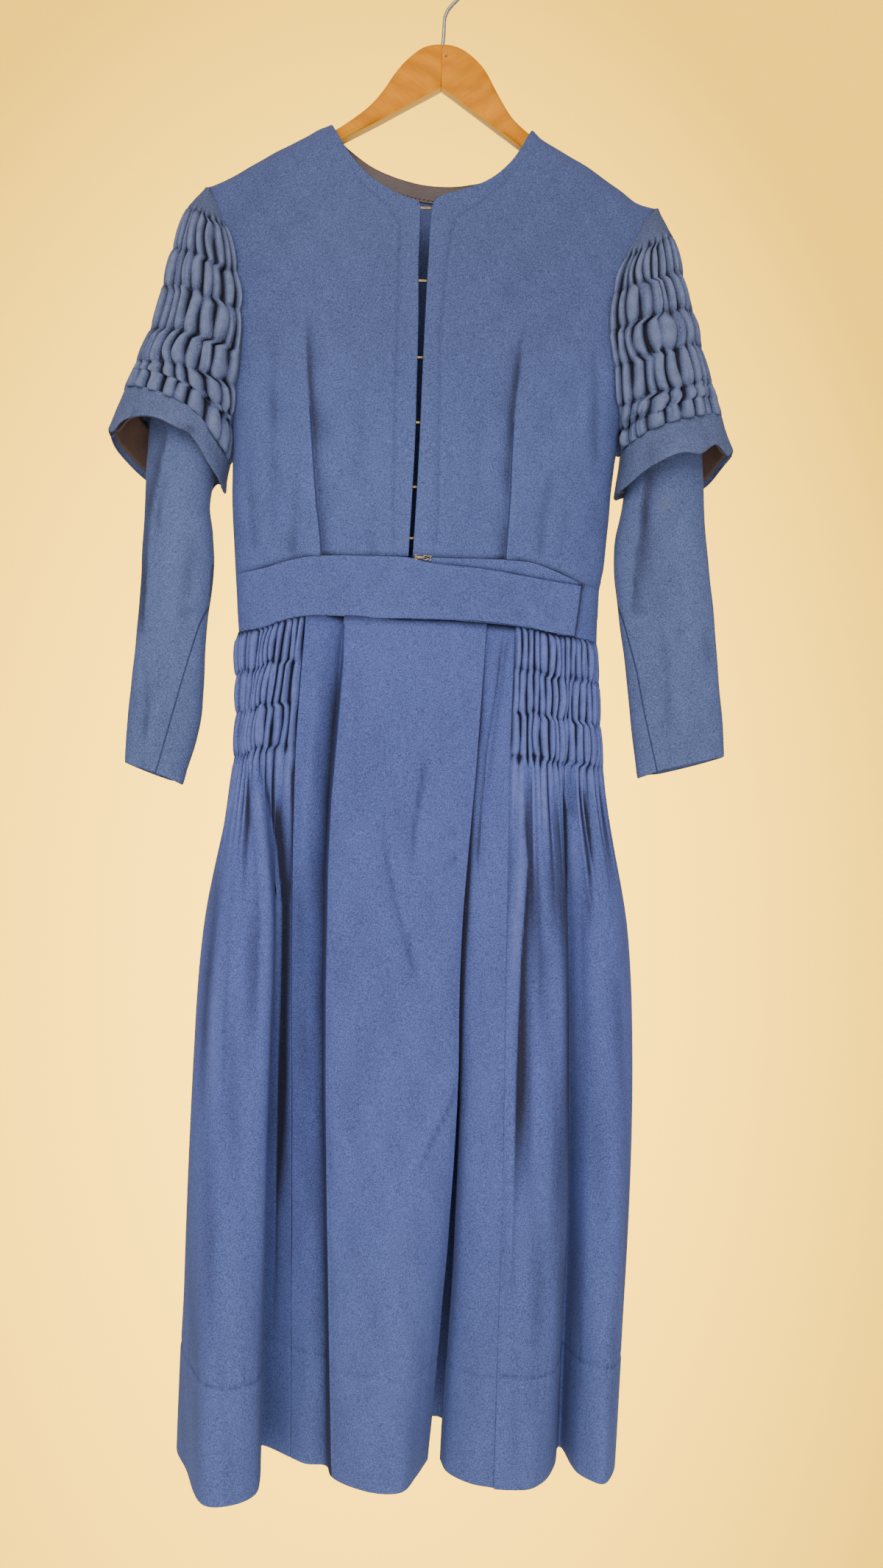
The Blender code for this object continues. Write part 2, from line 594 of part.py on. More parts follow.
BACK_FOLDS = (
    (2, "back", 95, 0, 104, 33, 118, 36, 124, 34, 118, 30),
    (3, "back", 72, 0, 78, 38, 85, 52, 88, 58, 85, 62),
    (3, "back", 50, 0, 54, 36, 55, 39, 55, 35, 54, 31),
    (2, "back", 24, 3.8, 26, 40, 27, 52, 26, 58, 24, 60),
    (2, "back", -8, 0, -9, 38, -9, 42, -8, 43, -6, 43),
    (3, "back", -40, 0, -44, 40, -44, 52, -44, 58, -42, 60),
    (3, "back", -66, 0, -72, 36, -74, 39, -76, 35, -76, 31),
    (2, "back", -90, 0, -98, 38, -104, 52, -108, 58, -108, 62),
    (0, "back", -115, 0, -124, 33, -136, 36, -142, 34, -142, 30),
)
GATHER_DROPS = (0, 17.8, 35.7, 53.5, 71.4, 89.2, 107, 128, 165, 225, 310, 420, 560, 715)
PLAIN_DROPS = (0, 40, 80, 120, 175, 250, 350, 470, 600, 715)
GATHER_SHARE = Table("drop share", (0, 1), (107, 1), (165, 0.95), (225, 0.6), (310, 0.25), (420, 0), (715, 0))


def skirt_surface(folds, drops):
    """A skirt panel through its fold lines: i counts its columns, j its rows from waist to hem."""
    lines = []
    for steps, half, waist_x, tuck, *places in folds:
        z = (WAIST_FRONT if half == "front" else WAIST_BACK).at(waist_x).bottom
        waist_y = body_depth(waist_x, z, half) - tuck
        waist_y = -waist_y if half == "front" else waist_y
        lines.append(Table("v x y z", (0, waist_x, waist_y, z),
                           *((v, x, y, mix(z, HEM, v))
                             for v, x, y in zip((HIP, THIGH, KNEE, 1.0), places[::2], places[1::2]))))
    starts = [sum(fold[0] for fold in folds[:k]) for k in range(len(folds))]

    def surface(i, j):
        i = clamp(i, 0, starts[-1])
        j = clamp(j, 0, len(drops) - 1)
        k = max(n for n in range(len(folds) - 1) if starts[n] <= i)
        t = k + (i - starts[k]) / folds[k][0]
        lower = min(int(j), len(drops) - 2)
        drop = mix(drops[lower], drops[lower + 1], j - lower)
        v = drop / drops[-1]
        points = []
        for line in lines:
            row = line.at(v)
            points.append(Vector((row.x, row.y, row.z)))
        place = through(points, t)
        place.z -= SEAM * (1 - v)
        return place
    return surface, starts[-1]


def make_skirt(cloth):
    for name, folds in (("skirt_side_right", SIDE_RIGHT_FOLDS), ("skirt_side_left", SIDE_LEFT_FOLDS)):
        surface, columns = skirt_surface(folds, GATHER_DROPS)

        def puffed(i, j, surface=surface, columns=columns):
            drop = GATHER_DROPS[j]
            share = GATHER_SHARE.at(drop).share
            if drop > SHIRR_ROWS * SHIRR_STEP:
                j_key = 1
            else:
                j_key = j
            if i % 2 == 0:
                return surface(i, j)
            pinch = PINCH if j_key % 2 == 0 else 1.0
            rise = HIP_PUFF * pinch * share * (1 + 0.3 * uneven(i, j_key))
            if i in (1, columns - 1):
                rise *= 0.5
            return inside(surface, i, j, -rise, 1)
        cloth_sheet(name, cloth, puffed, lambda i, j: inside(surface, i, j, CLOTH, 1),
                    columns, len(GATHER_DROPS) - 1)
    for name, folds in (("skirt_front", FRONT_FOLDS), ("skirt_under", UNDER_FOLDS),
                        ("skirt_back", BACK_FOLDS)):
        surface, columns = skirt_surface(folds, PLAIN_DROPS)
        cloth_sheet(name, cloth, surface, lambda i, j: inside(surface, i, j, CLOTH, 1),
                    columns, len(PLAIN_DROPS) - 1)


# ---------------------------------------------------------------- hooks and eyes
FASTENERS = (-221.5, -287, -354, -409.5, -463, -505)
EYE_RADIUS = 1.9
BILL = 2.2              # how deep a hook's bill turns round the eye


def hook_and_eye(number, brass, start, reach, y, z):
    """A hook from start to reach along X, with its bill turned in round a ring."""
    hook = [Vector((start, y, z)), Vector((mix(start, reach, 0.5), y, z)), Vector((reach, y, z)),
            Vector((reach + 0.9, y + BILL * 0.45, z)), Vector((reach, y + BILL * 0.9, z)),
            Vector((reach - 1.6, y + BILL, z))]
    wire(f"hook_{number}", brass, hook, WIRE)
    ring = []
    for k in range(9):
        turn = math.radians(-150 + k * 300 / 8)
        ring.append(Vector((reach + 0.8 - EYE_RADIUS * math.cos(turn), y + BILL * 0.45,
                            z + EYE_RADIUS * math.sin(turn))))
    wire(f"eye_{number}", brass, ring, WIRE * 0.8)


def make_fasteners(brass):
    """Six pairs close the opening from behind, and one holds the waistband over its left end."""
    for number, z in enumerate(FASTENERS, start=1):
        edges = OPENING.at(z)
        behind = body_depth(edges.right, z, "front") - CLOTH - NAP - 2 * WIRE
        hook_and_eye(number, brass, edges.right - 5, edges.left + 1.2, -behind, z)
    start, reach, z = -12.0, -6.2, -521.8
    before = body_depth(start, z, "front") + BAND_PROUD + SEAM / 2 + NAP + WIRE + BILL
    hook_and_eye(len(FASTENERS) + 1, brass, start, reach, -before, z)


# ---------------------------------------------------------------- hanger
# The arms: how far out, and the wood's upper and lower edges. The left one hangs a little lower.
ARM_RIGHT = Table("out top bottom",
                  (0.3, -70.4, -109), (9, -71.2, -114), (18, -74.5, -119.2), (30, -84.4, -126),
                  (39.5, -95.8, -131.4), (50, -112.2, -137.3), (61, -125.4, -143.3), (77, -138.6, -152),
                  (92, -148.6, -160.4), (111, -158.2, -171), (130, -169.4, -183), (149, -180.6, -193),
                  (166, -190.6, -202), (178, -199, -208))
ARM_LEFT = Table("out top bottom",
                 (0.3, -70.4, -109), (9, -71.2, -115), (18, -74.5, -121.5), (28, -81.6, -128.6),
                 (38, -92.4, -135.6), (48, -110.4, -142.6), (60, -130, -150.8), (70, -140.4, -158),
                 (84, -151.4, -168.4), (105.6, -168, -183), (132, -184, -199), (156, -200, -214),
                 (170, -211, -223), (176, -216, -225))
ARM_CORNER = 3.0


def make_hanger(wood, steel):
    for side, sign, arm in (("right", -1, ARM_RIGHT), ("left", 1, ARM_LEFT)):
        bm = bmesh.new()
        rings = []
        for out, top, bottom in arm.rows:
            half = HANGER_HALF if out < 160 else HANGER_HALF - 2
            corner = min(ARM_CORNER, (top - bottom) / 2.6)
            x = HANGER_X + sign * out
            section = ((-half, bottom + corner), (-half, top - corner), (-half + corner, top),
                       (half - corner, top), (half, top - corner), (half, bottom + corner),
                       (half - corner, bottom), (-half + corner, bottom))
            rings.append([bm.verts.new(Vector((x, y, z)) * MM) for y, z in section])
        for near, far in zip(rings, rings[1:]):
            for k in range(8):
                bm.faces.new((near[k], near[(k + 1) % 8], far[(k + 1) % 8], far[k]))
        bm.faces.new(rings[0])
        bm.faces.new(rings[-1])
        finish_mesh(f"hanger_arm_{side}", bm, wood, sharp=35)
    stem = [Vector((HANGER_X, 0, -69.6)), Vector((HANGER_X + 0.9, 0, -62)), Vector((-2.6, 0, -46)),
            Vector((0.2, 0, -38)), Vector((4.2, 0, -33))]
    middle = Vector((0, 0, HOOK_WIRE - HOOK_BEND))
    bend = []
    for k in range(17):
        turn = math.radians(-44 + k * 238 / 16)
        bend.append(middle + Vector((math.cos(turn), 0, math.sin(turn))) * HOOK_BEND)
    wire("hanger_hook", steel, stem + bend, HOOK_WIRE, sides=2)


def main():
    for old in list(bpy.data.objects):
        bpy.data.objects.remove(old)
    cloth = material("blue_crepe", (0.09, 0.16, 0.36), 0.85)
    lining = material("taupe_lining", (0.13, 0.10, 0.10), 0.7)
    wood = material("lacquered_wood", (0.66, 0.30, 0.08), 0.4)
    steel = material("hook_steel", (0.45, 0.44, 0.42), 0.35, 1.0)
    brass = material("fastener_brass", (0.42, 0.30, 0.14), 0.4, 1.0)
    make_bodice(cloth, lining)
    make_sleeves(cloth, lining)
    make_waistband(cloth)
    make_skirt(cloth)
    make_fasteners(brass)
    make_hanger(wood, steel)


main()
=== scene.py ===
"""Looks for the gathered wool-crepe dress on its wooden hanger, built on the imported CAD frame.

Sizes are in millimetres unless a name says otherwise; MM turns them into metres.
"""
import math
from types import SimpleNamespace

import bmesh
import bpy
import numpy as np
from mathutils import Matrix, Vector


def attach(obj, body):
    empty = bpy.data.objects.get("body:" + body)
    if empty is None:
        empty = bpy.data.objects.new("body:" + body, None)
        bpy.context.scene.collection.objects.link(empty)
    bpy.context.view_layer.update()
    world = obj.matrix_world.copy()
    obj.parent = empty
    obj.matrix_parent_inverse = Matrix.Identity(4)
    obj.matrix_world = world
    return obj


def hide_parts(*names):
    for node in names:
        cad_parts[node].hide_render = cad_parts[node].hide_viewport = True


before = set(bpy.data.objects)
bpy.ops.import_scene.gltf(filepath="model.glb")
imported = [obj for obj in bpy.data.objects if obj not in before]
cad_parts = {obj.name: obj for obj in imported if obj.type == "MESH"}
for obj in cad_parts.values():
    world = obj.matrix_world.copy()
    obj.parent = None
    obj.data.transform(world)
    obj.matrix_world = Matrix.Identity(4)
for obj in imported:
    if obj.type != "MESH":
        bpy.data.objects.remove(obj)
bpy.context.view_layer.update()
MM = 0.001

# ---------------------------------------------------------------- the photographer's stand
# The dress is photographed from a metre off, level with the hips, with the camera leaning by a
# degree and a half. It hangs free before a pale cream ground, over a pale floor.
STAND_OFF = 1020.0
PHOTO_HEIGHT = 2131     # in pixels
PIXEL = 0.638           # mm of the dress to a pixel
LEAN = math.atan2(58.5, 2087)
CAMERA_X, CAMERA_Z = 13.191, -709.684
lens = bpy.data.cameras.new("photo_camera")
lens.sensor_width = 36
lens.lens = STAND_OFF / PIXEL / PHOTO_HEIGHT * lens.sensor_width
viewer = bpy.data.objects.new("photo_camera", lens)
camera_axes = Matrix(((math.cos(LEAN), 0, math.sin(LEAN)), (-math.sin(LEAN), 0, math.cos(LEAN)),
                      (0, -1, 0)))
viewer.matrix_world = (Matrix.Translation(Vector((CAMERA_X, -STAND_OFF, CAMERA_Z)) * MM)
                       @ camera_axes.transposed().to_4x4())
bpy.context.collection.objects.link(viewer)
bpy.context.scene.camera = viewer


def add(tree, kind, inputs=(), **settings):
    """A shader node with its settings and its inputs, each a value or another node's socket."""
    made = tree.nodes.new("ShaderNode" + kind)
    for name, value in settings.items():
        setattr(made, name, value)
    for name, value in dict(inputs).items():
        if isinstance(value, bpy.types.NodeSocket):
            tree.links.new(value, made.inputs[name])
        else:
            made.inputs[name].default_value = value
    return made


def soft_light(name, place, size, power, colour):
    """A large soft studio lamp turned to the middle of the dress."""
    lamp = bpy.data.lights.new(name, "AREA")
    lamp.shape = "DISK"
    lamp.size, lamp.energy, lamp.color = size, power, colour
    stand = bpy.data.objects.new(name, lamp)
    stand.location = place
    stand.rotation_euler = (Vector((0, 0, -0.65)) - Vector(place)).to_track_quat("-Z", "Y").to_euler()
    bpy.context.collection.objects.link(stand)


studio = bpy.data.worlds.new("studio")
studio.use_nodes = True
sky = studio.node_tree
room = add(sky, "Background", {"Color": (1.0, 0.95, 0.88, 1), "Strength": 0.62})
looking = add(sky, "Mapping", {"Vector": add(sky, "TexCoord").outputs["Generated"],
                               "Scale": (1.8, 1, 1)}).outputs[0]
looking = add(sky, "VectorMath", {0: looking}, operation="NORMALIZE").outputs[0]
toward = add(sky, "VectorMath", {0: looking, 1: (-0.079, 0.99, -0.12)},
             operation="DOT_PRODUCT").outputs["Value"]
glow = add(sky, "MapRange", {"Value": toward, "From Min": 0.72, "From Max": 0.98, "To Min": 0.52,
                             "To Max": 1.25}).outputs[0]
glow = add(sky, "Math", {0: glow, 1: 4.9}, operation="MULTIPLY").outputs[0]
# The ground that the camera sees is a painted glow, brightest behind the dress; it lights nothing, and the
# room colour lights the scene.
painted_backdrop_glow = add(sky, "Background", {"Color": (1.0, 0.565, 0.02, 1), "Strength": glow})
seen = add(sky, "LightPath")
ground = add(sky, "MixShader",
             {0: seen.outputs["Is Camera Ray"], 1: room.outputs[0], 2: painted_backdrop_glow.outputs[0]})
sky.links.new(ground.outputs[0], sky.nodes["World Output"].inputs["Surface"])
bpy.context.scene.world = studio
soft_light("front_lamp", (-0.35, -2.1, 0.45), 1.7, 38, (1.0, 0.97, 0.93))
soft_light("key_lamp", (-1.5, -1.5, 0.55), 0.8, 5, (1.0, 0.97, 0.93))
soft_light("low_lamp", (0.35, -2.1, -1.45), 1.8, 27, (1.0, 0.96, 0.9))
soft_light("back_right", (-1.1, 2.2, 0.2), 1.8, 26, (1.0, 0.95, 0.88))
soft_light("back_left", (1.1, 2.2, -0.8), 1.8, 20, (1.0, 0.95, 0.88))

FLOOR_RADIUS, FLOOR_LEVEL = 0.85, -1.98     # in metres
bm = bmesh.new()
bmesh.ops.create_circle(bm, cap_ends=True, segments=64, radius=FLOOR_RADIUS,
                        matrix=Matrix.Translation((0, 0, FLOOR_LEVEL)))
floor_mesh = bpy.data.meshes.new("pale_floor")
bm.to_mesh(floor_mesh)
bm.free()
floor_finish = bpy.data.materials.new("pale_floor")
floor_finish.use_nodes = True
floor_shader = floor_finish.node_tree.nodes["Principled BSDF"]
floor_shader.inputs["Base Color"].default_value = (0.82, 0.72, 0.56, 1)
floor_shader.inputs["Roughness"].default_value = 0.7
floor_mesh.materials.append(floor_finish)
pale_floor = bpy.data.objects.new("pale_floor", floor_mesh)
bpy.context.collection.objects.link(pale_floor)

# ---------------------------------------------------------------- bodice fronts
# Two fronts of heathered blue wool crepe, each with one long waist dart. Their front and neck edges
# are turned over a facing, whose own edge shows through as a faint ridge.
CLOTH = 1.6             # the cloth with its turnings
SEAM = 0.4              # between two pieces that are sewn together
TUCKED = 0.9            # how far the bodice and the skirt go under the waistband
SHOULDER_ROUND = 24.0
SQUARENESS = 2.4
FRONT_CUT = (0.205, 0.385)


class Table:
    """Rows of named sizes, read smoothly between the rows along the first column."""

    def __init__(self, columns, *rows):
        self.columns = columns.split()
        self.rows = np.array(sorted(rows), float)

    def at(self, key):
        rows = self.rows
        keys = np.clip(np.asarray(key, float), rows[0, 0], rows[-1, 0])
        here = np.clip(np.searchsorted(rows[:, 0], keys, side="right") - 1, 0, len(rows) - 2)
        low, high = rows[here], rows[here + 1]
        before = rows[np.maximum(here - 1, 0)]
        after = rows[np.minimum(here + 2, len(rows) - 1)]
        span = high[..., :1] - low[..., :1]
        t = (keys[..., None] - low[..., :1]) / span
        leave = (high - before) / (high[..., :1] - before[..., :1]) * span
        reach = (after - low) / (after[..., :1] - low[..., :1]) * span
        value = bent(low, high, leave, reach, t)
        return SimpleNamespace(**{name: value[..., k] for k, name in enumerate(self.columns)})


def bent(start, end, leave, reach, t):
    """The cubic from start to end with the two given end slopes."""
    return (start * (2 * t**3 - 3 * t**2 + 1) + leave * (t**3 - 2 * t**2 + t)
            + end * (3 * t**2 - 2 * t**3) + reach * (t**3 - t**2))


def mix(a, b, t):
    return a + (b - a) * t


def clamp(value, low=0.0, high=1.0):
    return np.clip(value, low, high)


def ease(value, start, end):
    """0 before start and 1 after end, smooth between them."""
    t = clamp((value - start) / (end - start))
    return t * t * (3 - 2 * t)


BODY = Table("z right left front back",
             (-140, -206, 188, 17, 16),
             (-200, -208, 190, 22, 18),
             (-250, -206, 188, 29, 22),
             (-300, -205, 187, 35, 27),
             (-350, -199, 181, 40, 31),
             (-385, -185, 167, 43, 33),
             (-405, -176.2, 158.2, 44, 34),
             (-440, -175.5, 153.6, 44.5, 34),
             (-480, -174, 151.4, 42, 33),
             (-520, -170.8, 148, 38.5, 31),
             (-538, -169.4, 145, 38, 31),
             (-590, -165.8, 143.6, 40, 33))
SHOULDER = Table("x z",
                 (-206, -198), (-191, -192.5), (-170, -181.2), (-153, -171), (-134, -160),
                 (-114.5, -149.6), (-98, -141), (-60, -120), (-6, -95), (40, -118),
                 (76, -141), (84, -148.5), (101.6, -158.6), (128, -174), (152, -190),
                 (168, -201.5), (188, -206))
WAIST_FRONT = Table("x top bottom",
                    (-170, -534.6, -585.4), (-143, -531, -582), (-124, -526, -576), (-105, -522, -572),
                    (-85, -521, -571.6), (-43, -520.8, -573), (18, -520.8, -573.3), (66, -520.6, -575.5),
                    (84, -521.8, -577.6), (104, -527.7, -581), (126, -535.5, -583), (146, -539.8, -585.6))
WAIST_BACK = Table("x top bottom",
                   (-170, -534.6, -585.4), (-90, -531.5, -582.5), (-9, -530, -581), (80, -533, -583),
                   (146, -539.8, -585.6))
FRONT_RIGHT = Table("v inner_x inner_z outer_z",
                    (0.00, -19.6, -520.6, -534.4), (0.13, -17.9, -472, -492), (0.27, -16.5, -420, -447),
                    (0.38, -16.6, -375, -405), (0.52, -16.9, -318, -362), (0.64, -18.3, -270, -323),
                    (0.76, -18.2, -222, -287), (0.785, -21.0, -216, -279), (0.83, -37, -210.2, -262),
                    (0.885, -59.3, -196.6, -242), (0.935, -76, -180, -223), (0.975, -89.6, -160, -208),
                    (1.00, -98, -141.6, -198.4))
FRONT_LEFT = Table("v inner_x inner_z outer_z",
                   (0.00, -16.4, -520.6, -539.6), (0.13, -14.4, -472, -494), (0.27, -13.0, -420, -447),
                   (0.38, -12.5, -375, -405), (0.52, -11.5, -318, -364), (0.64, -10.3, -270, -327),
                   (0.76, -8.6, -222, -292), (0.785, -4.6, -212.4, -284), (0.83, 14, -205.8, -269),
                   (0.885, 39.6, -194.5, -248), (0.935, 58, -177.6, -230), (0.975, 70.4, -157, -216),
                   (1.00, 76, -141.6, -206.2))
SIDE_RIGHT = Table("z x",
                   (-198, -206), (-211, -198), (-224, -191.5), (-251, -180.5), (-290, -171), (-325, -166),
                   (-360, -167), (-385, -171.5), (-405, -175.8), (-440, -175.4), (-480, -173.8),
                   (-520, -170.6), (-540, -169.2))
SIDE_LEFT = Table("z x",
                  (-206, 187.6), (-220, 177), (-235, 168.7), (-258, 156.8), (-284, 148.2), (-318, 143.8),
                  (-348, 148.4), (-376, 152.4), (-405, 157.8), (-440, 153.4), (-480, 151.2),
                  (-520, 147.8), (-540, 144.8))


def body_depth(x, z, half):
    """How far the body's front or back stands from the side seams' plane."""
    form = BODY.at(z)
    middle = (form.right + form.left) / 2
    across = clamp(abs(x - middle) * 2 / (form.left - form.right))
    side = (1 - across**SQUARENESS) ** (1 / SQUARENESS)
    drop = clamp((SHOULDER.at(x).z - z) / SHOULDER_ROUND)
    return getattr(form, half) * side * np.sin(drop * np.pi / 2) ** 0.7


def on_body(x, z, half, proud=0.0):
    depth = body_depth(x, z, half) + proud + SEAM / 2
    return np.stack([x, -depth if half == "front" else depth, z], axis=-1)


def patch(bottom, top, start, end, u, v):
    """A panel's plan between its four edges."""
    zero, one = np.zeros_like(u), np.ones_like(u)
    sides = mix(start(v), end(v), u[..., None])
    levels = mix(bottom(u), top(u), v[..., None])
    corners = mix(mix(start(zero), end(zero), u[..., None]), mix(start(one), end(one), u[..., None]),
                  v[..., None])
    return sides + levels - corners


def spaced(count, length=None, head=True, tail=True):
    """Grid lines from 0 to 1; a piece whose length is given has three more close by each edge."""
    fine = np.array([0, 0.3, 0.8, 1.6]) / (length or 1)
    start = fine if length and head else np.array([0.0])
    end = 1 - (fine if length and tail else np.array([0.0]))[::-1]
    return np.concatenate([start[:-1], np.linspace(start[-1], end[0], count + 1), end[1:]])


def roll(distance):
    """A turned edge's roundness: how far the cloth drops in over its last mm or so."""
    return -0.8 * (1 - np.sqrt(1 - clamp(1 - distance / 1.6) ** 2))


def drift(a, b=0.0, seed=0.0):
    """A smooth uneven wave from about -1 to 1 over a and b, as cloth laid by hand has."""
    return (np.sin(a + 1.7 * b + 5.1 * seed) + np.sin(2.3 * a - 2.9 * b + 3.7 * seed)
            + 0.6 * np.sin(4.1 * a + 4.3 * b + 1.3 * seed)) / 2.3


def uneven(*keys):
    """A fixed uneven number from -1 to 1 for each set of whole numbers."""
    turn = np.sin(sum(key * weight for key, weight in zip(keys, (12.9898, 78.233, 37.719)))) * 43758.5
    return 2 * (turn - np.floor(turn)) - 1


def nearest(place, path):
    """For each point, its signed distance from a path of X, Z points and how far along it lies."""
    x, z = place[..., 0], place[..., 2]
    best = np.full(x.shape, 1e6)
    run = np.zeros(x.shape)
    lengths = [math.dist(a, b) for a, b in zip(path, path[1:])]
    gone = 0.0
    for (x0, z0), (x1, z1), length in zip(path, path[1:], lengths):
        dx, dz = (x1 - x0) / length, (z1 - z0) / length
        t = clamp((x - x0) * dx + (z - z0) * dz, 0, length)
        off = (x - x0 - t * dx) * dz - (z - z0 - t * dz) * dx
        gap = np.hypot(x - x0 - t * dx, z - z0 - t * dz) * np.where(off < 0, -1, 1)
        closer = abs(gap) < abs(best)
        best = np.where(closer, gap, best)
        run = np.where(closer, (gone + t) / sum(lengths), run)
        gone += length
    return best, run


def crease(place, path, width, height, fade=(0.5, 0.5)):
    """A soft ridge along a path, or a trough where height is under 0, that dies out at its ends.

    A pair of widths is for the right hand and the left, going along the path.
    """
    gap, run = nearest(place, path)
    width = np.where(gap > 0, *(width if isinstance(width, tuple) else (width, width)))
    ends = clamp(run / max(fade[0], 1e-3)) * clamp((1 - run) / max(fade[1], 1e-3))
    return height * np.exp(-(gap / width) ** 2) * ends ** 0.8


def creased(place, folds):
    """A panel's creases together: each is a path, a width, a height and sometimes its fade."""
    return sum(crease(place, *fold) for fold in folds)


def step(place, path, proud, sunk, reach, fade):
    """A seam's step: cloth stands proud on the path's left and sinks on its right, easing away."""
    gap, run = nearest(place, path)
    ends = ease(1 - run, 0, fade)
    over = (1 - np.tanh(gap / 1.1)) / 2
    return (proud * over - sunk * (1 - over)) * np.exp(-abs(gap) / reach) * ends


def to_piece(bm, name, finish):
    """The mesh as a smooth object with its finish."""
    mesh = bpy.data.meshes.new(name)
    bm.to_mesh(mesh)
    bm.free()
    mesh.shade_smooth()
    mesh.materials.append(finish)
    piece = bpy.data.objects.new(name, mesh)
    bpy.context.collection.objects.link(piece)
    return piece


def cloth_piece(name, finish, surface, across, down, cut, relief=None, thick=CLOTH, middle=None,
                closed=False, seams=(), sag=0.0, shade_and_wear_height=3.0, painted_shadows=()):
    """A grid of cloth on surface(u, v), with its relief raised from its face and its thickness behind.

    middle is a point that the face looks away from. seams are paths of X, Z points with a width;
    each point of the cloth keeps its distance from the nearest, for the material's painted shade
    along the seam, and how far it bulges, for painted shade in its low places and for crests lighter
    from wear and a painted highlight: shade_and_wear_height is what counts as high. sag is how far
    raised cloth drops for each mm that it stands out. painted_shadows are paths that the cloth's front
    gets a painted shadow beside, with how far that reaches on their right hand and left, and how dark
    it is.
    """
    bm = bmesh.new()
    bmesh.ops.create_grid(bm, x_segments=len(across) - 1, y_segments=len(down) - 1, size=0.5)
    spots = np.array([vert.co[:2] for vert in bm.verts]) + 0.5
    column = np.rint(spots[:, 0] * (len(across) - 1)).astype(int)
    row = np.rint(spots[:, 1] * (len(down) - 1)).astype(int)
    u, v = np.meshgrid(across, down)
    place = surface(u, v)

    def outward():
        face = np.cross(np.gradient(place, axis=1), np.gradient(place, axis=0))
        face /= np.maximum(np.linalg.norm(face, axis=-1, keepdims=True), 1e-9)
        look = place - (place.mean(axis=(0, 1)) if middle is None else np.array(middle))
        if middle is not None:
            look[..., 2] = 0
        return face if (face * look).sum() > 0 else -face

    flip = (outward() * np.cross(np.gradient(place, axis=1), np.gradient(place, axis=0))).sum() < 0
    if relief:
        raised = relief(u, v, place)
        place = place + outward() * raised[..., None]
        place[..., 2] -= sag * np.maximum(raised, 0)
    face = outward()
    # Painted shade and wear: below 0 where the cloth sinks below its neighbours, for painted shade; above 0
    # on its crests, for wear and a painted highlight.
    bulge = np.zeros(u.shape)
    if relief:
        level = raised
        for axis, reach in ((0, 4), (1, 7), (0, 3), (1, 5)):
            level = sum(np.take(level, np.clip(np.arange(u.shape[axis]) + k, 0, u.shape[axis] - 1), axis)
                        for k in range(-reach, reach + 1)) / (2 * reach + 1)
        bulge = clamp((raised - level) / shade_and_wear_height, -1, 1)
    # Painted shadow beside each path, on the cloth's front only.
    for path, right_hand, left_hand, dark in painted_shadows:
        gap, run = nearest(place, path)
        reach = np.where(gap > 0, right_hand, left_hand)
        here = (place[..., 1] < 2) * ease(run, 0, 0.16) * ease(1 - run, 0, 0.16)
        bulge = bulge - dark * np.exp(-(abs(gap) / reach) ** 1.3) * here
    # Each point's distance from the nearest seam line, for painted shade along the seam.
    seam = np.full(u.shape, 99.0)
    for path, width in seams:
        gap, run = nearest(place, path)
        gap = np.where((run <= 0) | (run >= 1), 99.0, gap / width)
        seam = np.where(abs(gap) < abs(seam), gap, seam)
    painted_shade_and_wear = bm.verts.layers.float.new("painted_shade_and_wear")
    line = bm.verts.layers.float.new("seam")
    cloth_map = bm.loops.layers.uv.new("cloth")
    for vert, i, j in zip(bm.verts, column, row):
        vert.co = Vector(place[j, i]) * MM
        vert[painted_shade_and_wear] = clamp(bulge[j, i], -1, 1)
        vert[line] = seam[j, i]
    for square in bm.faces:
        for loop in square.loops:
            i, j = column[loop.vert.index], row[loop.vert.index]
            loop[cloth_map].uv = (across[i] * cut[0], down[j] * cut[1])
    if closed:
        bmesh.ops.remove_doubles(bm, verts=bm.verts, dist=1e-6)
    if flip:
        bmesh.ops.reverse_faces(bm, faces=bm.faces)
    piece = to_piece(bm, name, finish)
    if thick:
        wall = piece.modifiers.new("thickness", "SOLIDIFY")
        wall.thickness = thick * MM
        wall.offset = -1
    return piece


def place_on_dress(piece, node):
    """The piece hangs with the rest and stands for its CAD node, if any."""
    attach(piece, "root")
    if node:
        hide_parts(node)


def sew(piece, node):
    """The cloth takes its place."""
    place_on_dress(piece, node)


def new_finish(name):
    """A material, its node tree and shader, and the socket of each spot's place on the dress."""
    finish = bpy.data.materials.new(name)
    finish.use_nodes = True
    tree = finish.node_tree
    return finish, tree, tree.nodes["Principled BSDF"], add(tree, "TexCoord").outputs["Object"]


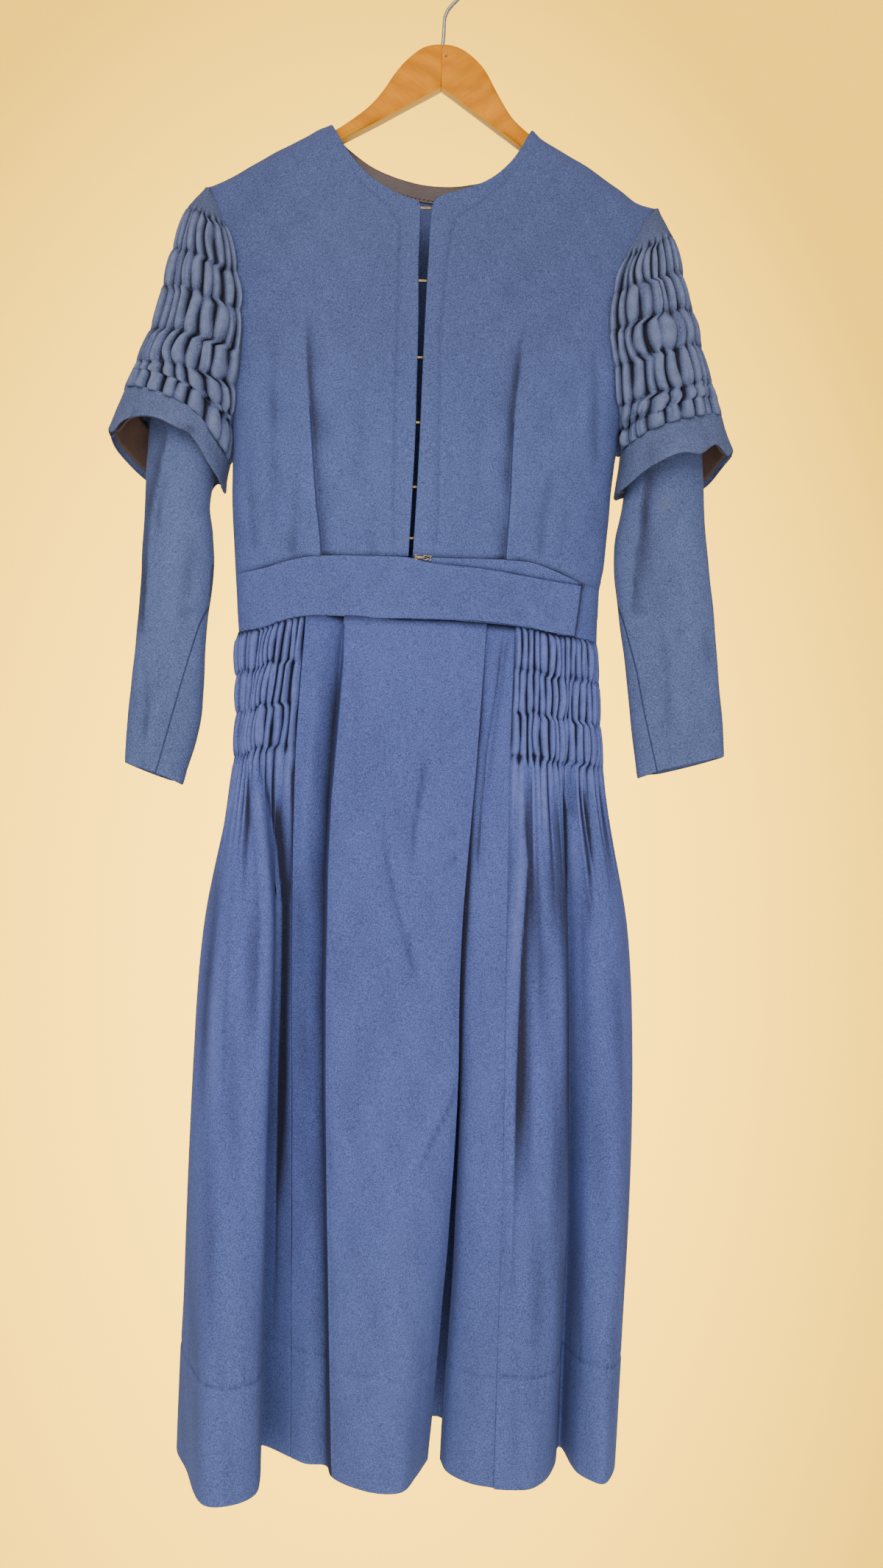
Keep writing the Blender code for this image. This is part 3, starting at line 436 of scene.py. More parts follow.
def crepe(name, blue=(0.073, 0.101, 0.262), worn=0.5, stain=None):
    """Heathered wool crepe: a pebbled face of mixed blue fibres and some lint, with painted shade in its
    creases, beside its seams and towards the top, and crests lighter from wear and a painted highlight.
    """
    finish, tree, shader, spot = new_finish(name)

    def noise(scale, detail=2.0, rough=0.5):
        return add(tree, "TexNoise", {"Vector": spot, "Scale": scale, "Detail": detail,
                                      "Roughness": rough}).outputs["Fac"]

    def ramp(value, low, high, out_low, out_high):
        return add(tree, "MapRange", {"Value": value, "From Min": low, "From Max": high,
                                      "To Min": out_low,
                                      "To Max": out_high}, interpolation_type="SMOOTHSTEP").outputs["Result"]

    def math_node(operation, a, b=0.0):
        return add(tree, "Math", {0: a, 1: b}, operation=operation).outputs[0]

    def blend(share, a, b, how="MIX"):
        made = add(tree, "Mix", data_type="RGBA", blend_type=how)
        for socket, value in ((0, share), (6, a), (7, b)):
            if isinstance(value, bpy.types.NodeSocket):
                tree.links.new(value, made.inputs[socket])
            else:
                made.inputs[socket].default_value = value
        return made.outputs[2]

    fibre = noise(950, 3, 0.7)
    mottle = noise(140, 3, 0.6)
    cloud = noise(7, 2)
    tone = math_node("ADD", ramp(fibre, 0.32, 0.68, 0.6, 1.4), ramp(mottle, 0.3, 0.7, -0.035, 0.035))
    tone = math_node("ADD", tone, ramp(cloud, 0.3, 0.7, -0.05, 0.05))
    dyed = add(tree, "HueSaturation", {"Value": tone, "Color": (*blue, 1)}).outputs["Color"]
    height = add(tree, "SeparateXYZ", {0: spot}).outputs["Z"]
    lower = ramp(height, -0.98, -1.27, 0.0, 0.34)
    # upper is painted shade: the crepe darkens towards the top of the dress.
    upper = ramp(height, -0.5, -0.2, 0.0, 1.0)
    faded = (blue[0] * 0.98 + 0.004, blue[1] * 1.12 + 0.006, blue[2] * 0.86, 1)
    dyed = blend(lower, dyed, blend(1.0, dyed, (*[c / b for c, b in zip(faded, blue)], 1), "MULTIPLY"))
    dyed = blend(upper, dyed, blend(1.0, dyed, (0.88, 0.83, 0.77, 1), "MULTIPLY"))
    # Below 0 the attribute darkens creases and low places as painted shade; above 0 it lightens crests, by
    # worn, as wear and a painted highlight.
    bulge = add(tree, "Attribute", attribute_name="painted_shade_and_wear").outputs["Fac"]
    rubbed_and_highlit = math_node("MULTIPLY", ramp(bulge, 0.1, 0.8, 0.0, worn), ramp(mottle, 0.3, 0.7, 0.6, 1.2))
    dyed = blend(rubbed_and_highlit, dyed, (blue[0] * 1.9, blue[1] * 1.75, blue[2] * 1.4, 1))
    shade = ramp(bulge, 0.12, -0.8, 0.0, 0.92)
    dyed = blend(shade, dyed, (0.009, 0.008, 0.013, 1))
    lint = ramp(noise(1500, 0), 0.80, 0.86, 0.0, 0.5)
    dyed = blend(lint, dyed, (0.28, 0.31, 0.38, 1))
    # Painted shade along seams, darts and the pleat's fold; the same groove also dents the bump.
    gap = math_node("ABSOLUTE", add(tree, "Attribute", attribute_name="seam").outputs["Fac"])
    groove = ramp(gap, 0.15, 0.9, 1.0, 0.0)
    dyed = blend(math_node("MULTIPLY", groove, 0.72), dyed,
                 (blue[0] * 0.2, blue[1] * 0.2, blue[2] * 0.3, 1))
    if stain:
        off = add(tree, "VectorMath", {0: spot, 1: stain}, operation="DISTANCE").outputs["Value"]
        mark = ramp(math_node("ADD", off, math_node("MULTIPLY", ramp(noise(160), 0, 1, 0, 1), 0.006)),
                    0.004, 0.014, 0.16, 0.0)
        dyed = blend(mark, dyed, (0.17, 0.18, 0.2, 1))
    tree.links.new(dyed, shader.inputs["Base Color"])
    tree.links.new(ramp(mottle, 0.3, 0.7, 0.86, 0.96), shader.inputs["Roughness"])
    shader.inputs["Sheen Weight"].default_value = 0.03
    shader.inputs["Sheen Roughness"].default_value = 0.45
    shader.inputs["Sheen Tint"].default_value = (0.72, 0.80, 1.0, 1)
    shader.inputs["Specular IOR Level"].default_value = 0.25
    twill = add(tree, "TexWave", {"Vector": add(tree, "UVMap", uv_map="cloth").outputs[0], "Scale": 330.0,
                                  "Distortion": 1.5, "Detail": 1.0},
                                  bands_direction="DIAGONAL").outputs["Fac"]
    relief = math_node("ADD", math_node("MULTIPLY", fibre, 0.34), math_node("MULTIPLY", twill, 0.05))
    relief = math_node("SUBTRACT", relief, math_node("MULTIPLY", groove, 0.9))
    raised = add(tree, "Bump", {"Height": relief, "Distance": 0.001, "Strength": 0.8})
    tree.links.new(raised.outputs["Normal"], shader.inputs["Normal"])
    return finish


# The bodice's copy of the crepe; the other parts' copies differ from it in blue as painted light and shade.
BODICE_CREPE = crepe("bodice_crepe")
BODY_AXIS = (-10, 0, 0)
DART_RIGHT = [(-92.3, -523), (-94.6, -500), (-97.8, -476), (-101.6, -436), (-105.5, -396)]
WAIST_SEAM = [(x, float(WAIST_FRONT.at(x).top)) for x in range(-190, 170, 6)]
DART_LEFT = [(61.2, -523), (62.4, -500), (63.6, -472), (64, -436), (65.0, -404)]
FACING_RIGHT = [(-95, -165), (-74, -200), (-50, -222), (-38.5, -240), (-38.7, -262), (-38.1, -315),
                (-37.9, -398), (-37.2, -460), (-36.5, -521)]
FACING_LEFT = [(76, -170), (54, -200), (31, -220), (14.6, -231), (10.1, -256), (7.7, -281), (5.1, -335),
               (6.4, -418), (6.8, -484), (5.0, -521)]
# Painted shadows on the fronts: beside each dart, in the side folds and along the waist seam.
RIGHT_HOLLOWS = (
    ([(-112, -300), (-109.5, -345), (-105.5, -396), (-101.6, -436), (-97.8, -476), (-90, -560)], 0.8,
     5.0, 0.13),
    ([(-110.5, -305), (-107, -365), (-102, -440)], 5.0, 9.0, 0.13),
    ([(-136, -330), (-138, -400), (-134, -510)], 6, 6, 0.05), (WAIST_SEAM, 1.2, 1.2, 0.75))
LEFT_HOLLOWS = (
    ([(72, -305), (69, -350), (65, -404), (64, -436), (63.6, -472), (60, -560)], 5.0, 0.8, 0.13),
    ([(70.5, -310), (67.5, -365), (62, -440)], 9.0, 5.0, 0.13),
    ([(132, -330), (134.5, -400), (134, -500)], 6, 6, 0.05), (WAIST_SEAM, 1.2, 1.2, 0.75))


def front_panel(rows, side):
    """A bodice front: u from the opening to the side, v from the waist to the shoulder."""
    def inner(v):
        row = rows.at(v)
        return np.stack([row.inner_x, row.inner_z], axis=-1)

    def outer(v):
        z = rows.at(v).outer_z
        return np.stack([side.at(z).x, z], axis=-1)

    def waist(u):
        x = mix(inner(0)[0], outer(0)[0], u)
        return np.stack([x, WAIST_FRONT.at(x).top - TUCKED], axis=-1)

    def shoulder(u):
        x = mix(inner(1)[0], outer(1)[0], u)
        return np.stack([x, SHOULDER.at(x).z - SEAM], axis=-1)

    def surface(u, v):
        plan = patch(waist, shoulder, inner, outer, np.sin(u * np.pi / 2), v)
        return on_body(plan[..., 0], plan[..., 1], "front")
    return surface


def armhole_pull(x, z, edge, pace, seed):
    """The armhole's seam draws a front in, a little unevenly."""
    drawn = 0.5 + 0.5 * drift(z / pace, 0, seed)
    return -0.5 * np.exp(-((x - edge.at(z).x) / 5) ** 2) * drawn * ease(z, -400, -380)


RIGHT_FRONT_FOLDS = (
    ([(-105.0, -420), (-107.2, -375), (-109.9, -320)], 5.0, -0.6),
    ([(-137, -318), (-138.6, -370), (-136.6, -420), (-134, -500)], 6, -1.0),
    ([(-62, -350), (-64, -420), (-62, -480)], 8, -0.7),
    ([(-158, -420), (-156, -470), (-150, -520)], 5, -1.0, (0.5, 0.1)),
    ([(-112, -440), (-116, -480), (-118, -522)], 5, -0.9, (0.8, 0.05)),
    ([(-52, -480), (-50, -521)], 5, -0.6, (0.8, 0.05)))


def right_front_relief(u, v, place):
    x, z = place[..., 0], place[..., 2]
    rise = step(place, DART_RIGHT + [(-109.0, -362), (-111.5, -315)], 1.0, 1.4, 10, 0.5)
    rise += creased(place, RIGHT_FRONT_FOLDS)
    rise += crease(place, FACING_RIGHT, 1.5, 0.35, (0.25, 0.05))
    rise += crease(place, [(p + 3.4, q) for p, q in FACING_RIGHT], 2.0, -0.6, (0.1, 0.05))
    rise += armhole_pull(x, z, SIDE_RIGHT, 4.2, 2)
    rise += 0.45 * drift(x / 21, z / 33, 1) * ease(u, 0.1, 0.3)
    rise += 0.8 * np.exp(-((x + 108) / 7) ** 2 - ((z + 150) / 9) ** 2)
    return rise + roll(u * 220) + roll((1 - v) * 330) + roll(v * 385 + 0.2)


LEFT_FRONT_FOLDS = (
    ([(64, -430), (65.9, -380), (70.5, -330)], 4.5, -0.6),
    ([(132.2, -329), (134.5, -400), (135.7, -454)], 5.5, -1.3),
    ([(124.4, -350), (125.6, -392), (124, -430)], 4, 0.7),
    ([(100, -436), (94, -470), (90, -521)], 5, -0.9, (0.6, 0.1)),
    ([(118, -450), (112, -480), (108, -521)], 5, -0.6, (0.6, 0.1)),
    ([(34, -380), (36, -440), (33, -500)], 8, -0.6))


def left_front_relief(u, v, place):
    x, z = place[..., 0], place[..., 2]
    mirrored = place * np.array([-1, 1, 1])
    dart = [(-p, q) for p, q in DART_LEFT + [(68.5, -366), (71.3, -322)]]
    rise = step(mirrored, dart, 1.0, 1.4, 10, 0.5)
    rise += creased(place, LEFT_FRONT_FOLDS)
    rise += crease(place, FACING_LEFT, 1.5, 0.35, (0.25, 0.05))
    rise += crease(place, [(p - 3.4, q) for p, q in FACING_LEFT], 2.0, -0.65, (0.1, 0.05))
    rise += armhole_pull(x, z, SIDE_LEFT, 4.4, 5)
    rise += 0.45 * drift(x / 20, z / 35, 3) * ease(u, 0.1, 0.3)
    return rise + roll(u * 205) + roll((1 - v) * 330) + roll(v * 385 + 0.2)


for side, rows, edge, relief, dart, painted_shadows in (
        ("right", FRONT_RIGHT, SIDE_RIGHT, right_front_relief, DART_RIGHT, RIGHT_HOLLOWS),
        ("left", FRONT_LEFT, SIDE_LEFT, left_front_relief, DART_LEFT, LEFT_HOLLOWS)):
    front = cloth_piece(f"front_{side}_crepe", BODICE_CREPE, front_panel(rows, edge), spaced(120, 205),
                        spaced(90, 330), FRONT_CUT, relief, middle=BODY_AXIS, seams=[(dart, 1)],
                        painted_shadows=painted_shadows)
    sew(front, f"bodice_front_{side}")

# ---------------------------------------------------------------- bodice back and its neck facing
# One back panel of the same crepe with two waist darts, and inside its neck a faced band of taupe
# lining, held down by a running stitch in dark thread.
BACK_CUT = (0.40, 0.385)
FACING_CUT = (0.19, 0.016)
FRONT_FACING_CUT = (0.018, 0.105)
BACK_COLUMNS = 20
BACK_NECK = Table("t x z",
                  (0.0, -98, -141.6), (0.1, -86, -152.6), (0.22, -65, -167.5), (0.34, -46, -175.8),
                  (0.46, -24, -181.8), (0.56, -4, -184), (0.68, 19, -182.6), (0.80, 42, -176.6),
                  (0.90, 60, -163), (1.0, 76, -141.6))
LINING = 0.9


def back_panel(u, v):
    """The back: u from the right side to the left, v from the waist to the shoulders and neck."""
    def right_edge(v):
        z = FRONT_RIGHT.at(v).outer_z
        return np.stack([SIDE_RIGHT.at(z).x, z], axis=-1)

    def left_edge(v):
        z = FRONT_LEFT.at(v).outer_z
        return np.stack([SIDE_LEFT.at(z).x, z], axis=-1)

    def waist(u):
        x = mix(right_edge(0)[0], left_edge(0)[0], u)
        return np.stack([x, WAIST_BACK.at(x).top - TUCKED], axis=-1)

    def top(u):
        column = u * BACK_COLUMNS
        neck = BACK_NECK.at((1 - np.cos(clamp((column - 6) / 8) * np.pi)) / 2)
        x = np.where(column < 6, mix(SIDE_RIGHT.at(-198).x, -98, column / 6),
                     np.where(column > 14, mix(76, SIDE_LEFT.at(-206).x, (column - 14) / 6), neck.x))
        z = np.where((column < 6) | (column > 14), SHOULDER.at(x).z, neck.z)
        return np.stack([x, z - SEAM], axis=-1)

    swept = (1 - np.cos(u * np.pi)) / 2
    plan = patch(waist, top, right_edge, left_edge, mix(u, swept, 0.7 * (1 - v)), v)
    return on_body(plan[..., 0], plan[..., 1], "back")


BACK_DARTS = (([(-86, -533), (-90, -480), (-95, -420)], 1), ([(68, -533), (71, -480), (75, -420)], 1))


BODICE_BACK_FOLDS = (
    ([(-84, -532), (-88, -480), (-96, -400), (-99, -350)], 8, -1.9, (0.02, 0.6)),
    ([(66, -532), (69, -480), (77, -400), (82, -345)], 8, -1.8, (0.02, 0.6)),
    ([(-94, -532), (-98, -470), (-104, -400)], 7, 0.9, (0.02, 0.6)),
    ([(76, -532), (79, -470), (86, -390)], 7, 0.9, (0.02, 0.6)),
    ([(-140, -420), (-132, -480), (-126, -531)], 6, -0.9, (0.6, 0.1)),
    ([(118, -410), (112, -470), (104, -531)], 6, -0.8, (0.6, 0.1)),
    ([(-12, -300), (-8, -400), (-10, -520)], 12, -0.8),
    ([(-150, -262), (-120, -330), (-104, -380)], 9, 0.7),
    ([(132, -272), (104, -335), (90, -380)], 9, 0.7))


def back_relief(u, v, place):
    x, z = place[..., 0], place[..., 2]
    rise = creased(place, BODICE_BACK_FOLDS)
    return rise + 0.35 * drift(x / 22, z / 34, 7) + roll((1 - v) * 360) + roll(v * 385 + 0.2)


back = cloth_piece("back_crepe", BODICE_CREPE, back_panel, spaced(84), spaced(80, 360),
                   BACK_CUT, back_relief, middle=BODY_AXIS, seams=BACK_DARTS, shade_and_wear_height=7.0)
sew(back, "bodice_back")


def woven_lining(name, colour):
    """A dull, closely woven lining with a slub here and there."""
    finish, tree, shader, spot = new_finish(name)
    slub = add(tree, "TexNoise", {"Vector": add(tree, "Mapping",
                                                {"Vector": spot, "Scale": (1, 1, 5)}).outputs[0],
                                  "Scale": 320, "Detail": 3}).outputs["Fac"]
    cloud = add(tree, "TexNoise", {"Vector": spot, "Scale": 30, "Detail": 2}).outputs["Fac"]
    tone = add(tree, "Math", {0: slub, 1: cloud}, operation="ADD").outputs[0]
    tone = add(tree, "MapRange", {"Value": tone, "From Min": 0.6, "From Max": 1.4, "To Min": 0.72,
                                  "To Max": 1.25}).outputs[0]
    dyed = add(tree, "HueSaturation", {"Value": tone, "Color": (*colour, 1)}).outputs["Color"]
    tree.links.new(dyed, shader.inputs["Base Color"])
    shader.inputs["Roughness"].default_value = 0.78
    shader.inputs["Sheen Weight"].default_value = 0.1
    weave = add(tree, "TexWave", {"Vector": spot, "Scale": 420.0, "Distortion": 0.6}, bands_direction="Z")
    raised = add(tree, "Bump", {"Height": weave.outputs["Fac"], "Distance": 0.0003, "Strength": 0.5})
    tree.links.new(raised.outputs["Normal"], shader.inputs["Normal"])
    return finish


TAUPE = woven_lining("taupe_facing", (0.112, 0.084, 0.083))
FACING_DEPTH = 15.0     # how wide the facing is under the neck edge
FACING_STITCHES = 44


def in_body(place, half, depth):
    """Points moved in by depth along Y, kept on their own side of the seams."""
    inner = place.copy()
    side = -1 if half == "front" else 1
    inner[..., 1] = side * np.maximum(abs(inner[..., 1]) - depth, SEAM / 2)
    return inner


def facing_surface(u, v):
    """Under the back neck, u from right to left and v from the neck edge down."""
    row = BACK_NECK.at(mix(0.07, 0.95, u))
    place = on_body(row.x, row.z - 0.6 - v * FACING_DEPTH, "back")
    return in_body(place, "back", CLOTH + 0.5)


facing = cloth_piece("neck_facing_lining", TAUPE, facing_surface, spaced(70, 190), spaced(8, 15),
                     FACING_CUT,
                     lambda u, v, place: roll(v * 15) + 0.15 * drift(u * 40, v, 4), LINING,
                     middle=BODY_AXIS)
sew(facing, "neck_facing")


def thread_finish(name, colour):
    """A twisted sewing thread."""
    finish, tree, shader, spot = new_finish(name)
    ply = add(tree, "TexNoise", {"Vector": spot, "Scale": 2600, "Detail": 1}).outputs["Fac"]
    tone = add(tree, "MapRange", {"Value": ply, "To Min": 0.6, "To Max": 1.5}).outputs[0]
    dyed = add(tree, "HueSaturation", {"Value": tone, "Color": (*colour, 1)}).outputs["Color"]
    tree.links.new(dyed, shader.inputs["Base Color"])
    shader.inputs["Roughness"].default_value = 0.6
    return finish


def stitches(name, finish, ends, thickness):
    """One mesh of short thread bars, each between two points and a little plump in its middle."""
    bm = bmesh.new()
    for start, end in ends:
        start, end = Vector(start) * MM, Vector(end) * MM
        run = end - start
        turned = Matrix.Translation((start + end) / 2) @ run.to_track_quat("Z", "Y").to_matrix().to_4x4()
        bmesh.ops.create_icosphere(bm, subdivisions=1, radius=0.5, matrix=turned @ Matrix.Diagonal(
            (thickness * MM, thickness * MM, run.length, 1)))
    place_on_dress(to_piece(bm, name, finish), None)


DARK_THREAD = thread_finish("dark_thread", (0.012, 0.012, 0.02))
BLUE_THREAD = thread_finish("blue_thread", (0.035, 0.05, 0.13))
facing_line = []
for k in range(FACING_STITCHES):
    u = 0.03 + 0.94 * k / FACING_STITCHES
    down = np.array([0.86 + 0.03 * uneven(k), 0.86 + 0.03 * uneven(k + 7)])
    ends = facing_surface(np.array([u, u + 0.014]), down)
    facing_line.append([Vector(p) - Vector((0, LINING + 0.25, 0)) for p in ends])
stitches("facing_running_stitch", DARK_THREAD, facing_line, 0.7)


def front_facing(rows, edge):
    """The taupe strip inside a front neck edge, which shows as a thin line along it."""
    panel = front_panel(rows, edge)

    def surface(u, v):
        return in_body(panel(mix(0.0, 0.09, u), mix(0.80, 0.992, v)), "front", CLOTH + 0.15)
    return surface


for side, rows, edge in (("right", FRONT_RIGHT, SIDE_RIGHT), ("left", FRONT_LEFT, SIDE_LEFT)):
    strip = cloth_piece(f"front_facing_{side}_lining", TAUPE, front_facing(rows, edge), spaced(8),
                        spaced(50),
                        FRONT_FACING_CUT, lambda u, v, place: 0.1 * drift(v * 30, u), 0.6,
                        middle=BODY_AXIS)
    sew(strip, None)

# ---------------------------------------------------------------- oversleeves
# Short full sleeves of crepe, drawn up on five full rows of running stitches and one part row, so
# that the cloth between the rows stands out in uneven rounded puffs with deep valleys.
OVERSLEEVE_CUT = (0.44, 0.21)
SLEEVE_ROWS = 7         # lines of the form down the sleeve, with stitches on the first six
UNDERARM = -405.0
OVERSLEEVE_RIGHT = Table("line out_x out_z in_x in_z deep lift",
                         (0, -203.6, -200.4, -201.6, -206, 8, 0),
                         (1, -218.5, -219.0, -190.6, -232, 19, -7),
                         (2, -230.0, -257, -176.6, -276, 31, -5), (3, -237.0, -291, -167.6, -314, 37, -2),
                         (4, -248.0, -330, -168.6, -352, 39, 2), (5, -258.5, -357, -172.6, -382, 39, 3),
                         (6, -263.5, -370, -177.4, -408, 38, 9),
                         (7, -268.8, -383.0, -179.2, -438.0, 38, 18))
OVERSLEEVE_LEFT = Table("line out_x out_z in_x in_z deep lift",
                        (0, 185.4, -207.8, 183.0, -213, 8, 0), (1, 198.5, -233, 166.5, -247, 22, -9),
                        (2, 207.5, -267, 151.0, -287, 31, -4), (3, 217.5, -300, 145.8, -325, 36, 0),
                        (4, 225.0, -329, 150.6, -352, 38, -2), (5, 235.5, -360, 155.8, -382, 39, -4),
                        (6, 240.0, -375, 160.0, -402, 39, 1), (7, 245.1, -389.2, 160.7, -419.0, 39, 3))
PUFF = 5.8
ROUNDNESS = 0.85        # a sleeve's section: 1 is an ellipse, less is squarer
TUCK = 1.2              # the sleeve head goes this far under the bodice's edge


def ring_lift(row, y, reach, tip=0.0):
    """A sleeve's rows lie higher in front than behind, the more so near the body in front."""
    behind = 1.35 * np.maximum(1 - reach, 0) ** 0.8 - ease(reach, 0.72, 0.95)
    return (row.lift * clamp(-y / row.deep, -1, 1) * (0.5 + reach) * np.where(y < 0, 1.0, behind)
            * (1 - tip * ease(reach, 0.74, 1.0)))


def oversleeve(rows, edge):
    """The sleeve without its gathers: u from the front of the armhole out and round to the back."""
    def surface(u, v):
        row = rows.at(v * SLEEVE_ROWS)
        way = u * 2 - 1
        armhole = row.in_z > UNDERARM + 3
        in_z = row.in_z
        for _ in range(4):
            in_x = edge.at(in_z).x
            sewn = np.where(way < 0, body_depth(in_x, in_z, "front"),
                            body_depth(in_x, in_z, "back")) - TUCK
            in_z = row.in_z + np.where(armhole, 1.5 * row.lift * clamp(sewn / row.deep), 0.0)
        tucked = np.where(armhole, sewn, -TUCK)
        deep = np.maximum(np.where(way < 0, row.deep, row.deep * 0.92), tucked * 1.06)
        share = clamp(tucked / deep, 0, 0.96)
        in_x = np.where(armhole, in_x - TUCK * np.sign(row.in_x), row.in_x)
        end = np.pi - np.arcsin(share ** (1 / ROUNDNESS))
        turn = abs(way) * end
        reach = (1 - np.cos(turn)) / (1 - np.cos(end))
        y = deep * abs(np.sin(turn)) ** ROUNDNESS * np.where(way < 0, -1, 1)
        return np.stack([mix(row.out_x, in_x, reach), y, mix(row.out_z, row.in_z, reach)
                         + ring_lift(row, y, reach, 0.6 * ease(v * SLEEVE_ROWS, 5.0, 6.5))], axis=-1)
    return surface


def gathered_lines(count):
    """Grid lines for so many gathers, set close where the valleys between them are sharp."""
    share = np.array([0, 0.035, 0.08, 0.15, 0.25, 0.37, 0.5, 0.63, 0.75, 0.85, 0.92, 0.965])
    return np.append((np.arange(count)[:, None] + share).ravel(), count) / count


def sway(run, line, seed, strength):
    """How far the gathers of each band shift and slant sideways, in gathers."""
    band = np.floor(clamp(line, 0, 5.999))
    inside = clamp(line - band)

    def shift(band):
        return (0.36 * drift(run * 10.5, band * 3.1, seed) + 0.15 * drift(run * 21, band * 4.3, seed + 9)
                + 0.2 * np.where(band % 2 == 0, 1, -1))

    slant = np.sin(np.pi * inside) * drift(run * 8, band * 2.3, seed + 2) * 0.5
    return (mix(shift(band - 1), shift(band), ease(inside, 0.0, 0.13)) + slant) * strength


def sleeve_warp(surface, count, seed):
    """The sleeve's form with its grid lines moved sideways along the gathers."""
    def moved(u, v):
        inner = 0.85 + 0.75 * ease(abs(u - 0.5) * 2, 0.4, 0.85)
        ends = np.sin(np.pi * clamp(u)) ** 0.5 * ease(v * SLEEVE_ROWS, 0.6, 1.1)
        return surface(clamp(u + sway(u, v * SLEEVE_ROWS, seed, inner) * ends / count), v)
    return moved


def puffs(phase, line, held, seed, height, lean=0.0):
    """The rise of gathered cloth between rows of stitches: rounded puffs between sharp valleys.

    Each crest leans over by its own share, some puffs are dented in two and some valleys run out.
    """
    band = np.floor(clamp(line, 0, 6.999))
    own, inside = np.minimum(band, 5), clamp(line - band)
    down = np.where(band < 5, inside, clamp(line / 2 - 2.5))
    puff, valley = np.floor(phase + 1e-6), np.rint(phase)
    part = clamp(phase - puff)
    wave = abs(np.sin(np.pi * part ** np.exp(lean + 0.3 * uneven(puff, own, seed + 7)))) ** 0.6
    near = 1 - np.sin(np.pi * inside) ** 0.5
    pinch = mix(1.0, 0.7 + 0.22 * uneven(puff, np.rint(line), seed + 6), wave)
    swell = 1 - held * pinch * near
    crest = 1 + 0.4 * uneven(puff, own, seed)
    tail = uneven(valley, own, seed + 5)
    out = np.where(tail > 0.4, ease(down, 0.3, 0.8), np.where(tail < -0.4, 1 - ease(down, 0.2, 0.7), 0))
    running = 1 - 0.55 * out
    deep = (1 - wave) * clamp(0.85 + 0.5 * uneven(valley, own, seed + 3), 0.35,
                              1.2) * running * (height + 2.6)
    dent = 0.34 * np.exp(-((part - 0.5) / 0.13) ** 2) * (uneven(puff, own,
                                                                seed + 8) > 0.45) * ease(down, 0.05, 0.3)
    return height * (crest - dent) * swell - deep * mix(0.6, 1.0, swell)


def sleeve_relief(count, seed):
    def relief(u, v, place):
        reach = abs(u - 0.5) * 2
        line = v * SLEEVE_ROWS
        line = line + (0.07 * drift(u * 31, 0, seed + 4) * ease(line, 0.5, 1.5)
                       * ease(SLEEVE_ROWS - line, 0, 0.5))
        row = np.rint(line)
        held = np.where(row == 0, 0.0, np.where(row == 6, ease(reach, 0.56, 0.74), 1.0))
        gathered = ease(line, 0.72, 1.12)
        sides = ease(u, 0.0, 0.035) * ease(1 - u, 0.0, 0.035)
        flatter = mix(0.5, 1.0, ease(reach, 0.0, 0.34))
        crumple = 0.4 * drift(u * 170, v * 44, seed) * np.exp(-((line - row) / 0.2) ** 2) * held
        rise = puffs(u * count, line, held, seed, PUFF, 0.25 * np.cos(np.pi * u)) * gathered * flatter
        return (rise + 1.5 * (1 - gathered) + crumple) * sides
    return relief


# Painted light and shade: this copy of the crepe has its own blue, set to how light falls on the sleeves.
SLEEVE_CREPE = crepe("sleeve_crepe", blue=(0.081, 0.105, 0.218), worn=0.6)
for side, rows, edge, gathers, seed in (("right", OVERSLEEVE_RIGHT, SIDE_RIGHT, 21, 1.0),
                                        ("left", OVERSLEEVE_LEFT, SIDE_LEFT, 23, 4.0)):
    surface = sleeve_warp(oversleeve(rows, edge), gathers, seed)
    sleeve = cloth_piece(f"oversleeve_{side}_crepe", SLEEVE_CREPE, surface, gathered_lines(gathers),
                         spaced(98), OVERSLEEVE_CUT, sleeve_relief(gathers, seed), sag=0.32,
                         shade_and_wear_height=2.9)
    sew(sleeve, f"oversleeve_{side}")
    tacks = []
    for line in range(1, SLEEVE_ROWS):
        for valley in range(2, gathers - 1):
            spot = valley / gathers
            if line == 6 and abs(spot - 0.5) < 0.24:
                continue
            pair = np.array([[spot - 0.005, spot + 0.005]])
            at = surface(pair, np.full(pair.shape, line / SLEEVE_ROWS))
            reach = abs(spot - 0.5) * 2
            out = np.array([(1 - reach) * (-1 if side == "right" else 1),
                            (0.35 + reach) * np.sign(spot - 0.5), 0])
            lift = out / np.linalg.norm(out) * 0.2
            tacks.append([Vector(at[0, 0] + lift), Vector(at[0, 1] + lift)])
    stitches(f"shirring_thread_{side}", BLUE_THREAD, tacks, 0.5)

# ---------------------------------------------------------------- sleeve bands
# A straight band turned back on each oversleeve, cloth folded double, with a brown lining inside
# that shows where the band gapes.
BAND_CUT = (0.26, 0.036)
BAND_LINING_CUT = (0.25, 0.03)
BAND = 2.2
NAP = 0.3
BAND_RIGHT = Table("line out_x out_z in_x in_z deep lift",
                   (0, -268.5, -381.5, -178.6, -436.7, 38, 18),
                   (1, -283.0, -416.4, -181.0, -463.0, 42, 27))
BAND_LEFT = Table("line out_x out_z in_x in_z deep lift",
                  (0, 244.9, -387.9, 160.8, -417.7, 39, 3), (1, 256.5, -419.0, 156.0, -459.0, 43, 10))


def ring(rows, inset=0.0, first=0.0, last=1.0):
    """A sleeve's plain tube: u once round from the outer fold by the front, v from first to last row."""
    def surface(u, v):
        row = rows.at(mix(first, last, v))
        turn = u * np.pi * 2
        fold = np.stack([row.out_x, row.out_z], axis=-1)
        seam = np.stack([row.in_x, row.in_z], axis=-1)
        across = (seam - fold) / np.linalg.norm(seam - fold, axis=-1, keepdims=True)
        reach = (1 - np.cos(turn)) / 2
        plan = mix(fold + across * inset, seam - across * inset, reach[..., None])
        side = np.sin(turn)
        y = -(row.deep - inset) * np.sign(side) * abs(side) ** ROUNDNESS
        return np.stack([plan[..., 0], y, plan[..., 1] + ring_lift(row, y, reach, 0.6)], axis=-1)
    return surface


